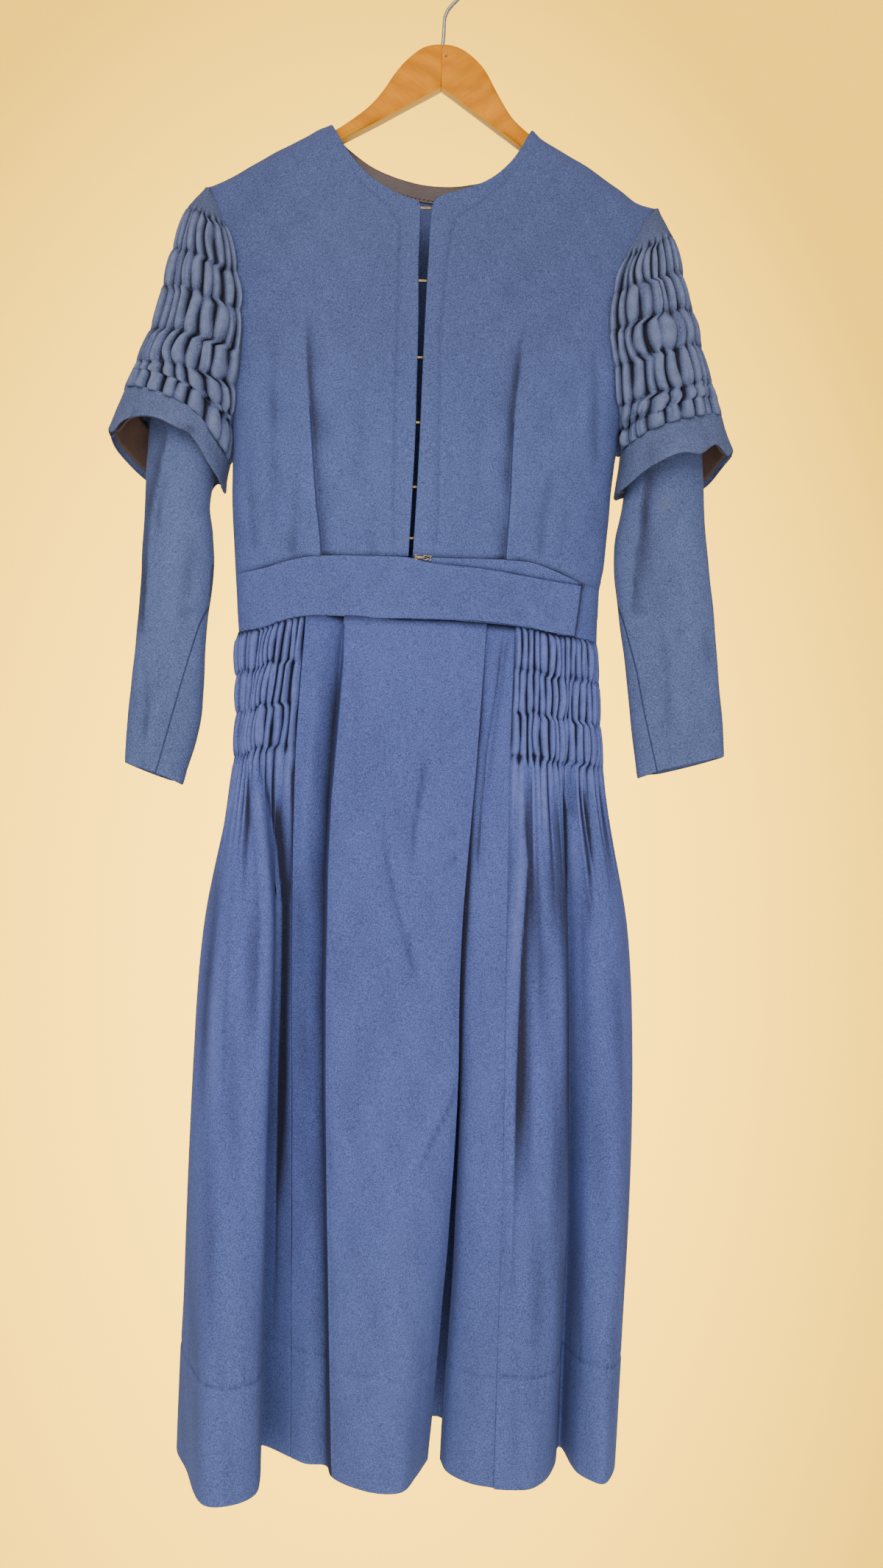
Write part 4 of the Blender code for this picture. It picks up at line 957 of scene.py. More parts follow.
def band_relief(seed):
    def relief(u, v, place):
        wave = 0.9 * drift(u * 11, v * 1.5, seed) * (0.35 + 0.65 * v)
        gathered = 0.5 * abs(np.sin(u * 26 * np.pi + drift(u * 9, 0, seed))) * (1 - ease(v, 0, 0.4))
        dent = -1.1 * np.exp(-((u - 0.16 - 0.02 * v) / 0.018) ** 2) * ease(v, 0.2, 0.9)
        dent += -0.9 * np.exp(-((u - 0.36 + 0.03 * v) / 0.02) ** 2) * ease(v, 0.1, 0.8)
        dent += 0.8 * np.exp(-((u - 0.27) / 0.03) ** 2) * v
        dent += -0.9 * np.exp(-((u - 0.66 - 0.02 * v) / 0.02) ** 2) * ease(v, 0.2, 0.9)
        return wave + gathered + dent + 1.3 * roll(v * 36) + 1.3 * roll((1 - v) * 36)
    return relief


def drooping(surface, seed, dips):
    """A band's tube whose lower edge waves and dips as turned cloth does."""
    def moved(u, v):
        place = surface(u, v)
        lower = 1.2 * drift(u * 13, 0, seed)
        lower = lower + sum(depth * np.exp(-((u - at) / width) ** 2) for at, depth, width in dips)
        place[..., 2] += lower * v ** 1.5
        return place
    return moved


BROWN = woven_lining("brown_sleeve_lining", (0.105, 0.058, 0.042))
for side, rows, seed, dips in (
        ("right", BAND_RIGHT, 2.0, ((0.10, -9, 0.04), (0.3, -1.5, 0.03))),
        ("left", BAND_LEFT, 5.0, ((0.09, -7, 0.035), (0.155, 3, 0.03), (0.2, -3.4, 0.03),
                                  (0.87, -8, 0.06)))):
    band = cloth_piece(f"band_{side}_crepe", SLEEVE_CREPE, drooping(ring(rows), seed, dips), spaced(132),
                       spaced(18, 36), BAND_CUT, band_relief(seed), BAND, closed=True)
    sew(band, f"sleeve_band_{side}")
    tube = drooping(ring(rows, BAND + NAP + 0.9, 0.06, 0.88), seed, dips)
    lining = cloth_piece(f"band_lining_{side}", BROWN, tube, spaced(96),
                         spaced(10), BAND_LINING_CUT,
                         lambda u, v, place: 0.5 * drift(u * 30, v * 3, 3), LINING, closed=True)
    sew(lining, f"sleeve_lining_{side}")

# ---------------------------------------------------------------- undersleeves
# Long narrow sleeves of the crepe in two pieces, pressed flat: one seam shows down the front, and the
# cuffs are turned up inside.
UNDERSLEEVE_CUT = (0.18, 0.47)
UNDERSLEEVE_RIGHT = Table("line out_x out_z in_x in_z deep lift",
                          (0, -209, -236, -182, -390, 15, 0), (1, -223, -300, -183.5, -404, 21, 0),
                          (2, -237, -350, -186, -421, 24, 0), (3, -246, -392, -190, -446, 23, 0),
                          (4, -249.4, -440, -194.8, -474, 20, 0), (5, -250.5, -490, -190.8, -500, 18, 0),
                          (6, -252, -540, -189.5, -535, 17, 0), (7, -254.5, -590, -194.5, -585, 16, 0),
                          (8, -258, -632, -195, -632, 15, 1), (9, -260.8, -668, -199, -672, 14, 2),
                          (10, -261.3, -699.2, -210.8, -717, 12, 2))
UNDERSLEEVE_LEFT = Table("line out_x out_z in_x in_z deep lift",
                         (0, 188, -240, 163, -388, 15, 0), (1, 205, -300, 164.5, -400, 21, 0),
                         (2, 219, -350, 165.5, -416, 23, 0), (3, 228, -392, 165.5, -438, 23, 0),
                         (4, 231.5, -432, 163.5, -463, 21, 0), (5, 235, -478, 157.4, -494, 19, 0),
                         (6, 240.5, -525, 157.6, -520, 17, 0), (7, 246, -566, 162, -556, 16, 0),
                         (8, 251, -615, 170.5, -612, 15, 1), (9, 255.5, -655, 177, -662, 14, 2),
                         (10, 257.6, -679.5, 182.5, -700.5, 12, 2))
SLEEVE_SEAM_RIGHT = [(-189.4, -524.6), (-191.6, -560.6), (-198.6, -579.7), (-207, -611), (-218, -654),
                     (-231.7, -706), (-234, -716)]
SLEEVE_SEAM_LEFT = [(158.7, -544), (167.6, -572), (178.2, -609.5), (185.5, -644.6), (197.5, -692),
                    (200, -702)]
RIGHT_UNDERSLEEVE_FRONT = (
    ([(-226, -425), (-233.3, -450), (-239.6, -476), (-243.4, -509), (-245.5, -560)], 2.2, 0.9,
     (0.1, 0.5)),
    ([(-229, -455), (-235, -482), (-238, -515)], 3.4, -1.7),
    ([(-250, -594), (-248, -630), (-246, -664)], 5, 1.5),
    ([(-231.6, -638), (-235.6, -664), (-243, -700)], 5, 1.3, (0.5, 0.2)),
    ([(-240, -640), (-242, -690)], 4, -1.1),
    ([(-212, -470), (-222, -520), (-226, -580)], 7, 1.3),
    ([(-203, -500), (-210, -560), (-214, -600)], 5, -1.3),
    ([(-196, -560), (-214, -576)], 4, -1.1))
RIGHT_UNDERSLEEVE_BACK = (
    ([(-222, -450), (-232, -520), (-236, -600)], 7, 1.7),
    ([(-208, -480), (-214, -560), (-226, -660)], 6, -1.5),
    ([(-244, -620), (-240, -690)], 5, 1.1))
LEFT_UNDERSLEEVE_FRONT = (
    ([(181, -425), (179.3, -437), (176.4, -457), (174.2, -504), (176, -540)], 2.2, 0.9, (0.2, 0.5)),
    ([(184, -440), (181, -470), (180, -515)], 3.6, -1.7),
    ([(214, -450), (218, -520), (226, -590)], 7, 1.3),
    ([(200, -560), (212, -620), (222, -670)], 6, 1.3),
    ([(192, -540), (203, -600), (208, -640)], 5, -1.3),
    ([(236, -560), (241, -620)], 5, -1.1),
    ([(165, -552), (184, -560)], 4, -0.9))
LEFT_UNDERSLEEVE_BACK = (
    ([(200, -450), (212, -520), (224, -600)], 7, 1.7),
    ([(184, -500), (196, -580), (214, -670)], 6, -1.5),
    ([(238, -560), (244, -640)], 5, 1.1))


def undersleeve_relief(front_folds, back_folds, cuff, slope, long, seed):
    """A pressed sleeve's creases in front and behind, and its cuff's slanting line of stitches."""
    def relief(u, v, place):
        x, z = place[..., 0], place[..., 2]
        front = ease(0.5 - abs(u - 0.25), 0.24, 0.3) * (u < 0.5)
        rise = front * creased(place, front_folds) + (u > 0.5) * creased(place, back_folds)
        hem = abs(z - cuff[1] - (x - cuff[0]) * slope)
        rise = rise + 0.35 * drift(x / 13, z / 26, seed) - 0.25 * np.exp(-(hem / 1.6) ** 2)
        return rise + roll((1 - v) * long)
    return relief


# Painted light and shade: this copy of the crepe has its own blue, set to how light falls on the
# undersleeves; the stain is a real mark.
UNDER_CREPE = crepe("undersleeve_crepe", blue=(0.083, 0.112, 0.252), worn=0.45,
                    stain=(0.1966, -0.0195, -0.466))
RIGHT_PRESSED = undersleeve_relief(RIGHT_UNDERSLEEVE_FRONT, RIGHT_UNDERSLEEVE_BACK, (-236, -693),
                                   -0.36, 470, 2)
LEFT_PRESSED = undersleeve_relief(LEFT_UNDERSLEEVE_FRONT, LEFT_UNDERSLEEVE_BACK, (220, -689), 0.28, 465,
                                  6)
# Painted shadows on the undersleeves: beside the pressed crease under the band and along a fold towards the
# cuff.
RIGHT_SLEEVE_HOLLOWS = (
    ([(-224, -400), (-228.3, -419), (-233.3, -450), (-239.6, -476), (-243.4, -509), (-247, -600)],
     14, 1.2, 0.5),
    ([(-246, -600), (-240, -650), (-244, -720)], 3, 3, 0.2))
LEFT_SLEEVE_HOLLOWS = (
    ([(184, -410), (179.3, -437), (176.4, -457), (174.2, -504), (172, -570)], 1.2, 12, 0.42),
    ([(214, -560), (204, -620), (208, -700)], 3, 3, 0.15))
for side, rows, relief, seam, painted_shadows in (
        ("right", UNDERSLEEVE_RIGHT, RIGHT_PRESSED, SLEEVE_SEAM_RIGHT, RIGHT_SLEEVE_HOLLOWS),
        ("left", UNDERSLEEVE_LEFT, LEFT_PRESSED, SLEEVE_SEAM_LEFT, LEFT_SLEEVE_HOLLOWS)):
    sleeve = cloth_piece(f"undersleeve_{side}_crepe", UNDER_CREPE, ring(rows, 0, 0, 10), spaced(72),
                         spaced(116, 470, head=False), UNDERSLEEVE_CUT, relief, closed=True,
                         seams=[(seam, 1)], shade_and_wear_height=5.0, painted_shadows=painted_shadows)
    sew(sleeve, f"undersleeve_{side}")

# ---------------------------------------------------------------- waistband
# A two-inch band of doubled crepe in three pieces. The right one runs on over the left past the
# opening and ends free, with a soft turned edge that has begun to fray.
OVERLAP_END = (127.0, 122.0)
OVERLAP = Table("x top bottom",
                (-170, -534.6, -585.4), (-143, -531, -582), (-124, -526, -576), (-105, -522, -572),
                (-85, -521, -571.6), (-43, -520.8, -573), (-18, -522.2, -573), (1, -526.2, -573),
                (41, -529.2, -573.3), (79, -534, -576.4), (104, -537.2, -580.6), (127, -538.8, -582.4))
BAND_PROUD = 0.5


def over_left(x):
    """The right band lies on the left one past the opening."""
    return BAND_PROUD + (BAND + NAP + 0.7) * clamp((x + 42) / 24)


def band_strip(half, start, end, edges, lift, way):
    def surface(u, v):
        t = way(u)
        x = mix(mix(start[0], end[0], t), mix(start[1], end[1], t), v)
        row = edges.at(x)
        return on_body(x, mix(row.top, row.bottom, v), half, lift(x))
    return surface


def to_side(t):
    return np.sin(t * np.pi / 2)


def side_to_side(t):
    return (1 - np.cos(t * np.pi)) / 2


def waistband_relief(seed, free_end=False):
    def relief(u, v, place):
        x = place[..., 0]
        rise = 0.35 * drift(x / 17, v * 1.6, seed) + 0.25 * drift(x / 6, v, seed + 1) * ease(v, 0.6, 1)
        rise += 1.2 * roll(v * 52) + 1.2 * roll((1 - v) * 52)
        if free_end:
            rise += 1.2 * roll(u * 300) + 0.9 * ease(x, 70, 122) * (0.4 + 0.6 * v)
            rise += crease(place, [(108, -545), (112, -560), (108, -578)], 4, 0.6)
            rise += crease(place, [(60, -536), (72, -560), (80, -574)], 6, -0.5)
        return rise
    return relief


# Painted light and shade: this copy of the crepe has its own blue, set to how light falls on the waistband.
WAIST_CREPE = crepe("waistband_crepe", blue=(0.075, 0.102, 0.282))
RIGHT_SIDE, LEFT_SIDE = (-169.4, -165.9), (145.0, 143.6)
# Painted shadows on the left waistband, along the overlap's top edge and beside its free end.
BESIDE_FREE_END = (([(x, float(OVERLAP.at(x).top)) for x in range(-50, 150, 6)], 2.0, 2.0, 0.6),
                   ([(131, -500), (127, -538.8), (122, -582.4), (118, -630)], 2.6, 2.6, 0.6))
for name, half, start, end, edges, lift, columns, way, cut in (
        ("right", "front", OVERLAP_END, RIGHT_SIDE, OVERLAP, over_left, 200, to_side, 0.325),
        ("left", "front", (-15.6, -15.6), LEFT_SIDE, WAIST_FRONT, lambda x: BAND_PROUD, 100, to_side,
         0.185),
        ("back", "back", RIGHT_SIDE, LEFT_SIDE, WAIST_BACK, lambda x: BAND_PROUD, 130, side_to_side,
         0.345)):
    strip = cloth_piece(f"waistband_{name}_crepe", WAIST_CREPE,
                        band_strip(half, start, end, edges, lift, way),
                        spaced(columns, 300, name != "back", False), spaced(26, 52), (cut, 0.052),
                        waistband_relief(len(name), name == "right"), BAND, middle=BODY_AXIS,
                        painted_shadows=BESIDE_FREE_END if name == "left" else ())
    sew(strip, f"waistband_{name}")

# ---------------------------------------------------------------- skirt
# A wrapped front with one knife pleat, the plain front beneath it, and at each hip a wide panel drawn
# up on three rows of stitches that falls from there in soft folds to a four-inch hem.
HEM = -1290.0
SHIRR_STEP = 35.7
HIP_PUFF = 4.8
HIP, THIGH, KNEE = 0.165, 0.357, 0.608
SKIRT_LONG = 715.0
SHIRRED_TO = 118
HEM_STITCHES = (608, 634)
HEM_LINE = -1196.0
SIDE_RIGHT_FOLDS = (
    (4, "back", -115.6, 0, -124.6, 33, -136.6, 36, -142.6, 34, -142.6, 30),
    (4, "back", -133, 0, -142, 29, -160, 41, -168, 47, -168, 50),
    (4, "back", -152, 0, -158, 16, -181, 18, -188, 20, -190, 28),
    (2, "front", -166, 0, -166.4, -2, -187, -4, -194.4, -6, -199.5, 4),
    (2, "front", -157, 0, -161, -20, -179, -36, -186, -42, -182, -42),
    (4, "front", -146, 0, -153, -31, -162, -54, -164, -68, -160, -83),
    (2, "front", -134, 0, -146, -37, -142, -60, -140, -73, -137, -82),
    (2, "front", -127, 0, -139, -39, -124, -54, -122, -64, -122.5, -67),
    (2, "front", -121, 0, -133, -35, -124, -36, -123.5, -38, -121.5, -45),
    (2, "front", -114, 0, -124, -32, -127, -19, -130, -7, -129, 4),
    (0, "front", -105.4, 0, -110.4, -36, -111, -24, -107, -16, -100.4, -13))
FRONT_FOLDS = (
    (2, "front", -104.8, 0, -109.8, -36, -110.4, -24, -106.4, -16, -99.8, -13.4),
    (3, "front", -90, 0, -96, -38, -98, -26, -92, -19, -86, -22),
    (2, "front", -71, 6.5, -72, -24, -76, -19, -72, -22, -69, -24),
    (3, "front", -72, 0, -77.5, -45, -80.5, -50, -74.5, -52, -62, -40),
    (3, "front", -40, 0, -40, -50, -40, -56, -36, -60, -29, -59.5),
    (3, "front", 8, 0, 4, -51, 2, -58, 2, -62, -4, -58.5),
    (2, "front", 40, 0, 33, -49, 27, -54, 26, -56, 8, -36),
    (0, "front", 47.5, 0, 42, -47, 34, -50, 33, -50, 18.2, -10))
UNDER_FOLDS = (
    (2, "front", 24, 3.8, 26, -40, 30, -42, 35.6, -38, 28, -10),
    (2, "front", 48, 3.8, 46, -41, 44, -46, 43, -47, 33.5, -27),
    (2, "front", 60, 3.8, 56, -40, 54, -48, 54, -51, 52, -42.5),
    (0, "front", 71.9, 3.2, 70.1, -42.4, 71.1, -50.4, 73.1, -52.4, 73.1, -49.4))
SIDE_LEFT_FOLDS = (
    (4, "front", 71.6, 0, 69.6, -43, 70.6, -51, 72.6, -53, 72.6, -50),
    (4, "front", 88, 0, 91, -43, 97, -54, 101, -55, 95, -50.5),
    (2, "front", 102, 0, 106, -41, 117, -48, 122, -47, 114, -39.5),
    (2, "front", 109, 0, 111, -37, 123, -39, 129, -35, 126.5, -14),
    (4, "front", 115, 0, 115, -30, 124.5, -20, 131.5, -8, 133, 14),
    (2, "front", 126, 0, 128, -29, 142, -31, 147, -31, 146, -26),
    (2, "front", 136, 0, 142, -22, 163, -29, 170, -31, 164, -39),
    (4, "front", 143.8, 0, 152.5, -2, 177.5, -4, 186.5, -4, 178, -6),
    (4, "back", 131, 0, 143, 17, 169, 20, 177, 22, 172, 28),
    (4, "back", 114, 0, 124, 29, 146, 41, 154, 47, 150, 50),
    (0, "back", 95.6, 0, 104.6, 33, 118.6, 36, 124.6, 34, 118.6, 30))
BACK_FOLDS = (
    (2, "back", 95, 0, 104, 33, 118, 36, 124, 34, 118, 30),
    (3, "back", 72, 0, 78, 38, 85, 52, 88, 58, 85, 62),
    (3, "back", 50, 0, 54, 36, 55, 39, 55, 35, 54, 31),
    (2, "back", 24, 3.8, 26, 40, 27, 52, 26, 58, 24, 60),
    (2, "back", -8, 0, -9, 38, -9, 42, -8, 43, -6, 43),
    (3, "back", -40, 0, -44, 40, -44, 52, -44, 58, -42, 60),
    (3, "back", -66, 0, -72, 36, -74, 39, -76, 35, -76, 31),
    (2, "back", -90, 0, -98, 38, -104, 52, -108, 58, -108, 62),
    (0, "back", -115, 0, -124, 33, -136, 36, -142, 34, -142, 30))


def skirt_panel(folds):
    """A skirt panel through its fold lines: u along its steps between them, v from waist to hem."""
    lines = []
    for _, half, waist_x, tuck, *places in folds:
        z = float((WAIST_FRONT if half == "front" else WAIST_BACK).at(waist_x).bottom)
        waist_y = float(body_depth(np.float64(waist_x), np.float64(z), half)) - tuck
        waist_y = -waist_y if half == "front" else waist_y
        lines.append(Table("v x y z", (0, waist_x, waist_y, z),
                           *((v, x, y, mix(z, HEM, v))
                             for v, x, y in zip((HIP, THIGH, KNEE, 1.0), places[::2], places[1::2]))))
    starts = np.cumsum([0] + [fold[0] for fold in folds[:-1]])

    def surface(u, v):
        rows = [line.at(v) for line in lines]
        knots = np.stack([np.stack([row.x, row.y, row.z], axis=-1) for row in rows])
        last = len(lines) - 1
        step = clamp(u) * starts[-1]
        k = np.clip(np.searchsorted(starts, step, side="right") - 1, 0, last - 1)
        i, j = np.indices(u.shape)
        t = ((step - starts[k]) / (starts[k + 1] - starts[k]))[..., None]
        a, b = knots[k, i, j], knots[k + 1, i, j]
        before = np.where((k > 0)[..., None], knots[np.maximum(k - 1, 0), i, j], a * 2 - b)
        after = np.where((k + 2 <= last)[..., None], knots[np.minimum(k + 2, last), i, j], b * 2 - a)
        d0, d1, d2 = (np.sqrt(np.maximum(np.linalg.norm(q - p, axis=-1, keepdims=True), 1e-6))
                      for p, q in ((before, a), (a, b), (b, after)))
        leave = ((a - before) / d0 - (b - before) / (d0 + d1) + (b - a) / d1) * d1
        reach = ((b - a) / d1 - (after - a) / (d1 + d2) + (after - b) / d2) * d1
        place = bent(a, b, leave, reach, t)
        place[..., 2] += TUCKED * (1 - v)
        return place
    return surface


def skirt_rows(shirred):
    """Grid lines down a panel: close through the shirring and at the hem's stitches."""
    first, last = HEM_STITCHES
    drops = [np.linspace(0, SHIRRED_TO, 64)[:-1],
             np.linspace(SHIRRED_TO, first, 32)[:-1]] if shirred else [
        np.linspace(0, first, 84)[:-1]]
    drops += [np.linspace(first, last, 14)[:-1], np.linspace(last, 713.4, 12),
              np.array([714.2, 714.7, 715.0])]
    return np.concatenate(drops) / SKIRT_LONG


def hem_relief(place, seed):
    """The turned-up hem is a little proud under its stitch line, which dimples and pulls the cloth."""
    x, y, z = place[..., 0], place[..., 1], place[..., 2]
    along = x + 1.6 * y
    off = z - HEM_LINE - 3.0 * drift(along / 34, 0, seed)
    pull = 0.5 + 0.5 * drift(along / 3.4, 0, seed + 1)
    rise = 0.35 * ease(-off, -1.5, 1.5) - 0.75 * np.exp(-(off / 1.8) ** 2) * (0.25 + 0.75 * pull)
    rise += 0.5 * np.exp(-abs(off) / 16) * drift(along / 4.6, 0, seed + 2) * ease(abs(off), 1, 5) * 0.6
    return rise + 1.1 * roll(z - HEM)


def evenly_gathered(surface):
    """The grid lines' places so that each gather takes the same length of the waist seam."""
    fine = np.linspace(0, 1, 600)
    waist = surface(fine[None, :], np.zeros((1, 600)))[0]
    run = np.concatenate([[0.0], np.cumsum(np.linalg.norm(np.diff(waist, axis=0), axis=-1))])
    return lambda share: np.interp(share, run / run[-1], fine)


def hip_warp(surface, count, seed):
    """A hip panel by gathers: u counts them along the waist and their lines sway down the shirring."""
    placed = evenly_gathered(surface)

    def moved(u, v):
        line = v * SKIRT_LONG / SHIRR_STEP
        free = 1 - ease(line, 3.2, 7.0)
        ends = np.sin(np.pi * clamp(u)) ** 0.4
        return surface(placed(clamp(u + sway(u * 1.3, np.minimum(line, 3.4), seed, 0.9) * ends
                                    * free / count)), v)
    return moved


HANGING_FOLDS = (
    ([(-139, -700), (-123.6, -765), (-118.6, -815), (-118.4, -886), (-118.4, -976), (-119, -1080)],
     (1.6, 9), -1.3, (0.3, 0.3)),
    ([(-143, -700), (-131, -765), (-126, -815), (-126, -886), (-127, -1000)], 6, 1.8, (0.1, 0.4)),
    ([(-112, -696), (-109.5, -744), (-112, -775)], 2.6, -1.6, (0.1, 0.5)),
    ([(-152, -692), (-148, -740), (-150, -800)], 4, -1.2, (0.1, 0.6)),
    ([(-160, -696), (-163, -790), (-166, -900), (-166, -1010)], 6, 1.6, (0.1, 0.5)),
    ([(-171, -780), (-176, -900), (-178, -1010)], 6, -1.3, (0.4, 0.4)),
    ([(83.3, -690), (83.1, -738), (87, -774), (83.3, -846), (82.8, -918), (82, -1060)], (1.6, 12), -1.3,
     (0.3, 0.3)),
    ([(80, -690), (79, -738), (80, -774), (76, -846), (74, -960)], 5, 1.4, (0.1, 0.4)),
    ([(107, -698), (118.3, -730), (120.5, -773), (121.6, -809), (125.7, -881), (129, -972),
      (131, -1080)], (12, 1.6), -1.5,
     (0.3, 0.3)),
    ([(124, -730), (127, -773), (129, -809), (133, -881), (137, -972)], 5, 1.6, (0.1, 0.4)),
    ([(130.2, -705), (138.8, -758), (141.4, -788)], 3.2, -1.4, (0.1, 0.5)),
    ([(146, -694), (156, -760), (163, -830)], 4, -1.3, (0.1, 0.6)),
    ([(95, -700), (98, -770), (104, -850)], 5, 1.2, (0.1, 0.5)))
WRAP_EDGE = [(46.2, -572), (45.3, -606), (42.3, -667), (38.8, -721), (38.2, -775), (35.9, -847),
             (35, -918), (35, -972),
             (31, -1100), (19, -1292)]
PLEAT = [(-72.3, -572), (-72.1, -610), (-75.1, -671), (-78.2, -725), (-79.2, -779), (-78, -887),
         (-75.5, -976),
         (-64, -1292)]
BAND_LINE = [(x, float(OVERLAP.at(x).bottom)) for x in range(-240, 220, 6)]
# Paths for painted shadows on the skirt: beside the lips of the hanging folds, under the wrap's edge and
# under the waistband.
LIP_RUN = [(-141, -680), (-123.6, -765), (-118.6, -815), (-118.4, -886), (-118.4, -976), (-119, -1200)]
LEFT_LIP = ((LIP_RUN, 0.6, 2.6, 0.42), (LIP_RUN, 0.6, 15, 0.3))
RIGHT_LIP_RUN = [(107, -670), (118.3, -730), (120.5, -773), (121.6, -809), (125.7, -881), (129, -972),
                 (131, -1190)]
UNDER_WRAP = ([(46.5, -540)] + WRAP_EDGE[:-1] + [(12, -1400)], 30, 2.4, 0.9)
UNDER_BAND = (BAND_LINE, 2.2, 2.2, 0.7)
HIP_HOLLOWS = {
    "hip_right": (*LEFT_LIP, UNDER_BAND, ([(-112.3, -670), (-110, -744), (-113, -820)], 2, 3, 0.45),
                  ([(-150, -680), (-146, -740), (-147, -820)], 2, 2, 0.3)),
    "hip_left": (UNDER_WRAP, UNDER_BAND,
                 ([(83.3, -660), (83.1, -738), (87, -774), (83.3, -846), (82.8, -918), (82, -1160)], 0.7,
                  11, 0.34),
                 (RIGHT_LIP_RUN, 3.0, 0.7, 0.36), (RIGHT_LIP_RUN, 15, 0.7, 0.3),
                 ([(130.2, -680), (138.8, -758), (141.4, -830)], 2.5, 2.5, 0.36))}


def hip_relief(count, seed):
    """Gathers on three rows of stitches, which open into the skirt's folds below the third."""
    def relief(u, v, place):
        drop, phase = v * SKIRT_LONG, u * count
        line = drop / SHIRR_STEP + 0.06 * drift(u * 26, 0, seed + 5)
        gathers = puffs(phase, np.minimum(line, 3.0), 1.0, seed,
                        HIP_PUFF) * mix(0.3, 1.0, ease(drop, 0, 9))
        wave = abs(np.sin(np.pi * phase)) ** mix(0.52, 1.5, ease(line, 3.0, 4.4))
        shallow = np.where(uneven(np.rint(phase), 3, seed + 3) > 0.45, 0.4, 1.0)
        opening = HIP_PUFF * (1 + 0.3 * uneven(np.floor(phase + 1e-6), 3, seed))
        opening = opening - (1 - wave) * shallow * (HIP_PUFF + 1.4)
        gathers = mix(gathers, 0.66 * opening, ease(line, 3.0, 3.4))
        long = 96 + 80 * uneven(np.rint(phase), 5, seed)
        fade = (1 - ease(drop - 107, 0, long)) ** 1.6 * (1 - 0.4 * np.exp(-(place[..., 1] / 24) ** 2))
        sides = ease(u, 0.0, 0.015) * ease(1 - u, 0.0, 0.015)
        sway_out = 0.9 * drift(u * 14, place[..., 2] / 170, seed + 8) * ease(drop, 130, 320)
        folds = creased(place, HANGING_FOLDS)
        return gathers * fade * sides + folds * (place[..., 1] < 0) + sway_out + hem_relief(place, seed)
    return relief


# Painted shadows on the wrap: beside the pleat's fold, under the waistband and beside its creases.
WRAP_HOLLOWS = (
    *LEFT_LIP, UNDER_BAND, ([(-72.5, -540)] + PLEAT[:-1] + [(-58, -1400)], 9.0, 0.4, 0.55),
    ([(-72.5, -540)] + PLEAT[:-1] + [(-58, -1400)], 4.5, 0.4, 0.5),
    ([(-0.8, -680), (-3, -705), (-8.2, -740), (-11.7, -805), (-9, -850), (4.6, -882)], 1.1, 1.1, 0.2),
    ([(-33.7, -715), (-32.5, -763), (-22.6, -800), (-10, -851), (2, -880)], 1.1, 1.1, 0.16),
    ([(15, -742), (29, -752)], 0.8, 0.8, 0.2), ([(16, -779), (32, -767)], 0.8, 0.8, 0.2),
    ([(34, -950), (28.7, -971), (22, -985), (14, -1001), (1, -1032)], 1.6, 0.9, 0.26))


WRAP_FOLDS = (
    ([(1, -676), (0.5, -686), (-5.5, -730), (-9.5, -782)], 3.2, -1.0),
    ([(8, -680), (2, -730), (-3, -782)], 5, 0.6),
    ([(-33.8, -734), (-30.2, -775), (-21.2, -815), (-10, -851), (1, -877)], 3, -0.8),
    ([(-26, -740), (-22, -776), (-13, -815), (0, -851)], 5, 0.5),
    ([(16.3, -779), (31, -767)], 2.6, -0.8),
    ([(15.3, -742), (28.3, -752)], 2.6, -0.8),
    ([(10, -756), (25, -762)], 3.0, 0.5),
    ([(34, -950), (28.7, -971), (22, -985), (14, -1001), (1.1, -1030)], 3.0, -0.9),
    ([(30, -935), (20, -970), (7, -1000), (-6, -1030)], 6, 0.6),
    ([(-62, -600), (-58, -640), (-60, -700)], 6, -0.6),
    ([(-50, -900), (-46, -1010), (-48, -1110)], 10, -0.6),
    ([(-20, -1040), (-16, -1120), (-20, -1190)], 9, 0.9),
    ([(-92, -620), (-98, -700), (-104, -800)], 5, 0.9),
    ([(-104, -760), (-100, -900), (-94, -1060)], 6, -0.8),
    ([(22, -574), (24, -600), (20, -640)], 5, 0.5, (0.1, 0.8)))


def front_relief(u, v, place):
    x, z = place[..., 0], place[..., 2]
    rise = creased(place, WRAP_FOLDS)
    rise += crease(place, [(-72, -574), (-77.5, -690), (-80.5, -828), (-74.5, -1007), (-62, -1288)], 1.5,
                   0.9,
                   (0.02, 0.02)) * (u > 0.33)
    rise += 0.5 * drift(x / 19, z / 60, 4) * ease(v, 0.03, 0.15)
    return rise + hem_relief(place, 3) + roll(u * 250) + 1.2 * roll((1 - u) * 250)


UNDERLAP_FOLDS = (
    ([(66, -580), (58, -650), (50, -730), (46, -800)], 2.4, -1.4, (0.05, 0.6)),
    ([(60, -600), (52, -680), (46, -760)], 3.5, 0.8))


def under_relief(u, v, place):
    x, z = place[..., 0], place[..., 2]
    rise = creased(place, UNDERLAP_FOLDS)
    return rise + 0.4 * drift(x / 15, z / 70, 6) + hem_relief(place, 5)


SKIRT_BACK_CREASES = (
    ([(-60, -600), (-58, -720), (-62, -840)], 9, 1.0),
    ([(40, -590), (44, -700), (38, -830)], 8, 0.9),
    ([(-20, -780), (-26, -900), (-22, -1040)], 10, -1.1),
    ([(66, -900), (72, -1010), (70, -1120)], 9, -1.0),
    ([(-96, -860), (-90, -980), (-94, -1100)], 9, 1.0))


def skirt_back_relief(u, v, place):
    x, z = place[..., 0], place[..., 2]
    rise = creased(place, SKIRT_BACK_CREASES)
    return rise + 0.7 * drift(x / 24, z / 80, 9) * ease(v, 0.02, 0.15) + hem_relief(place, 7)
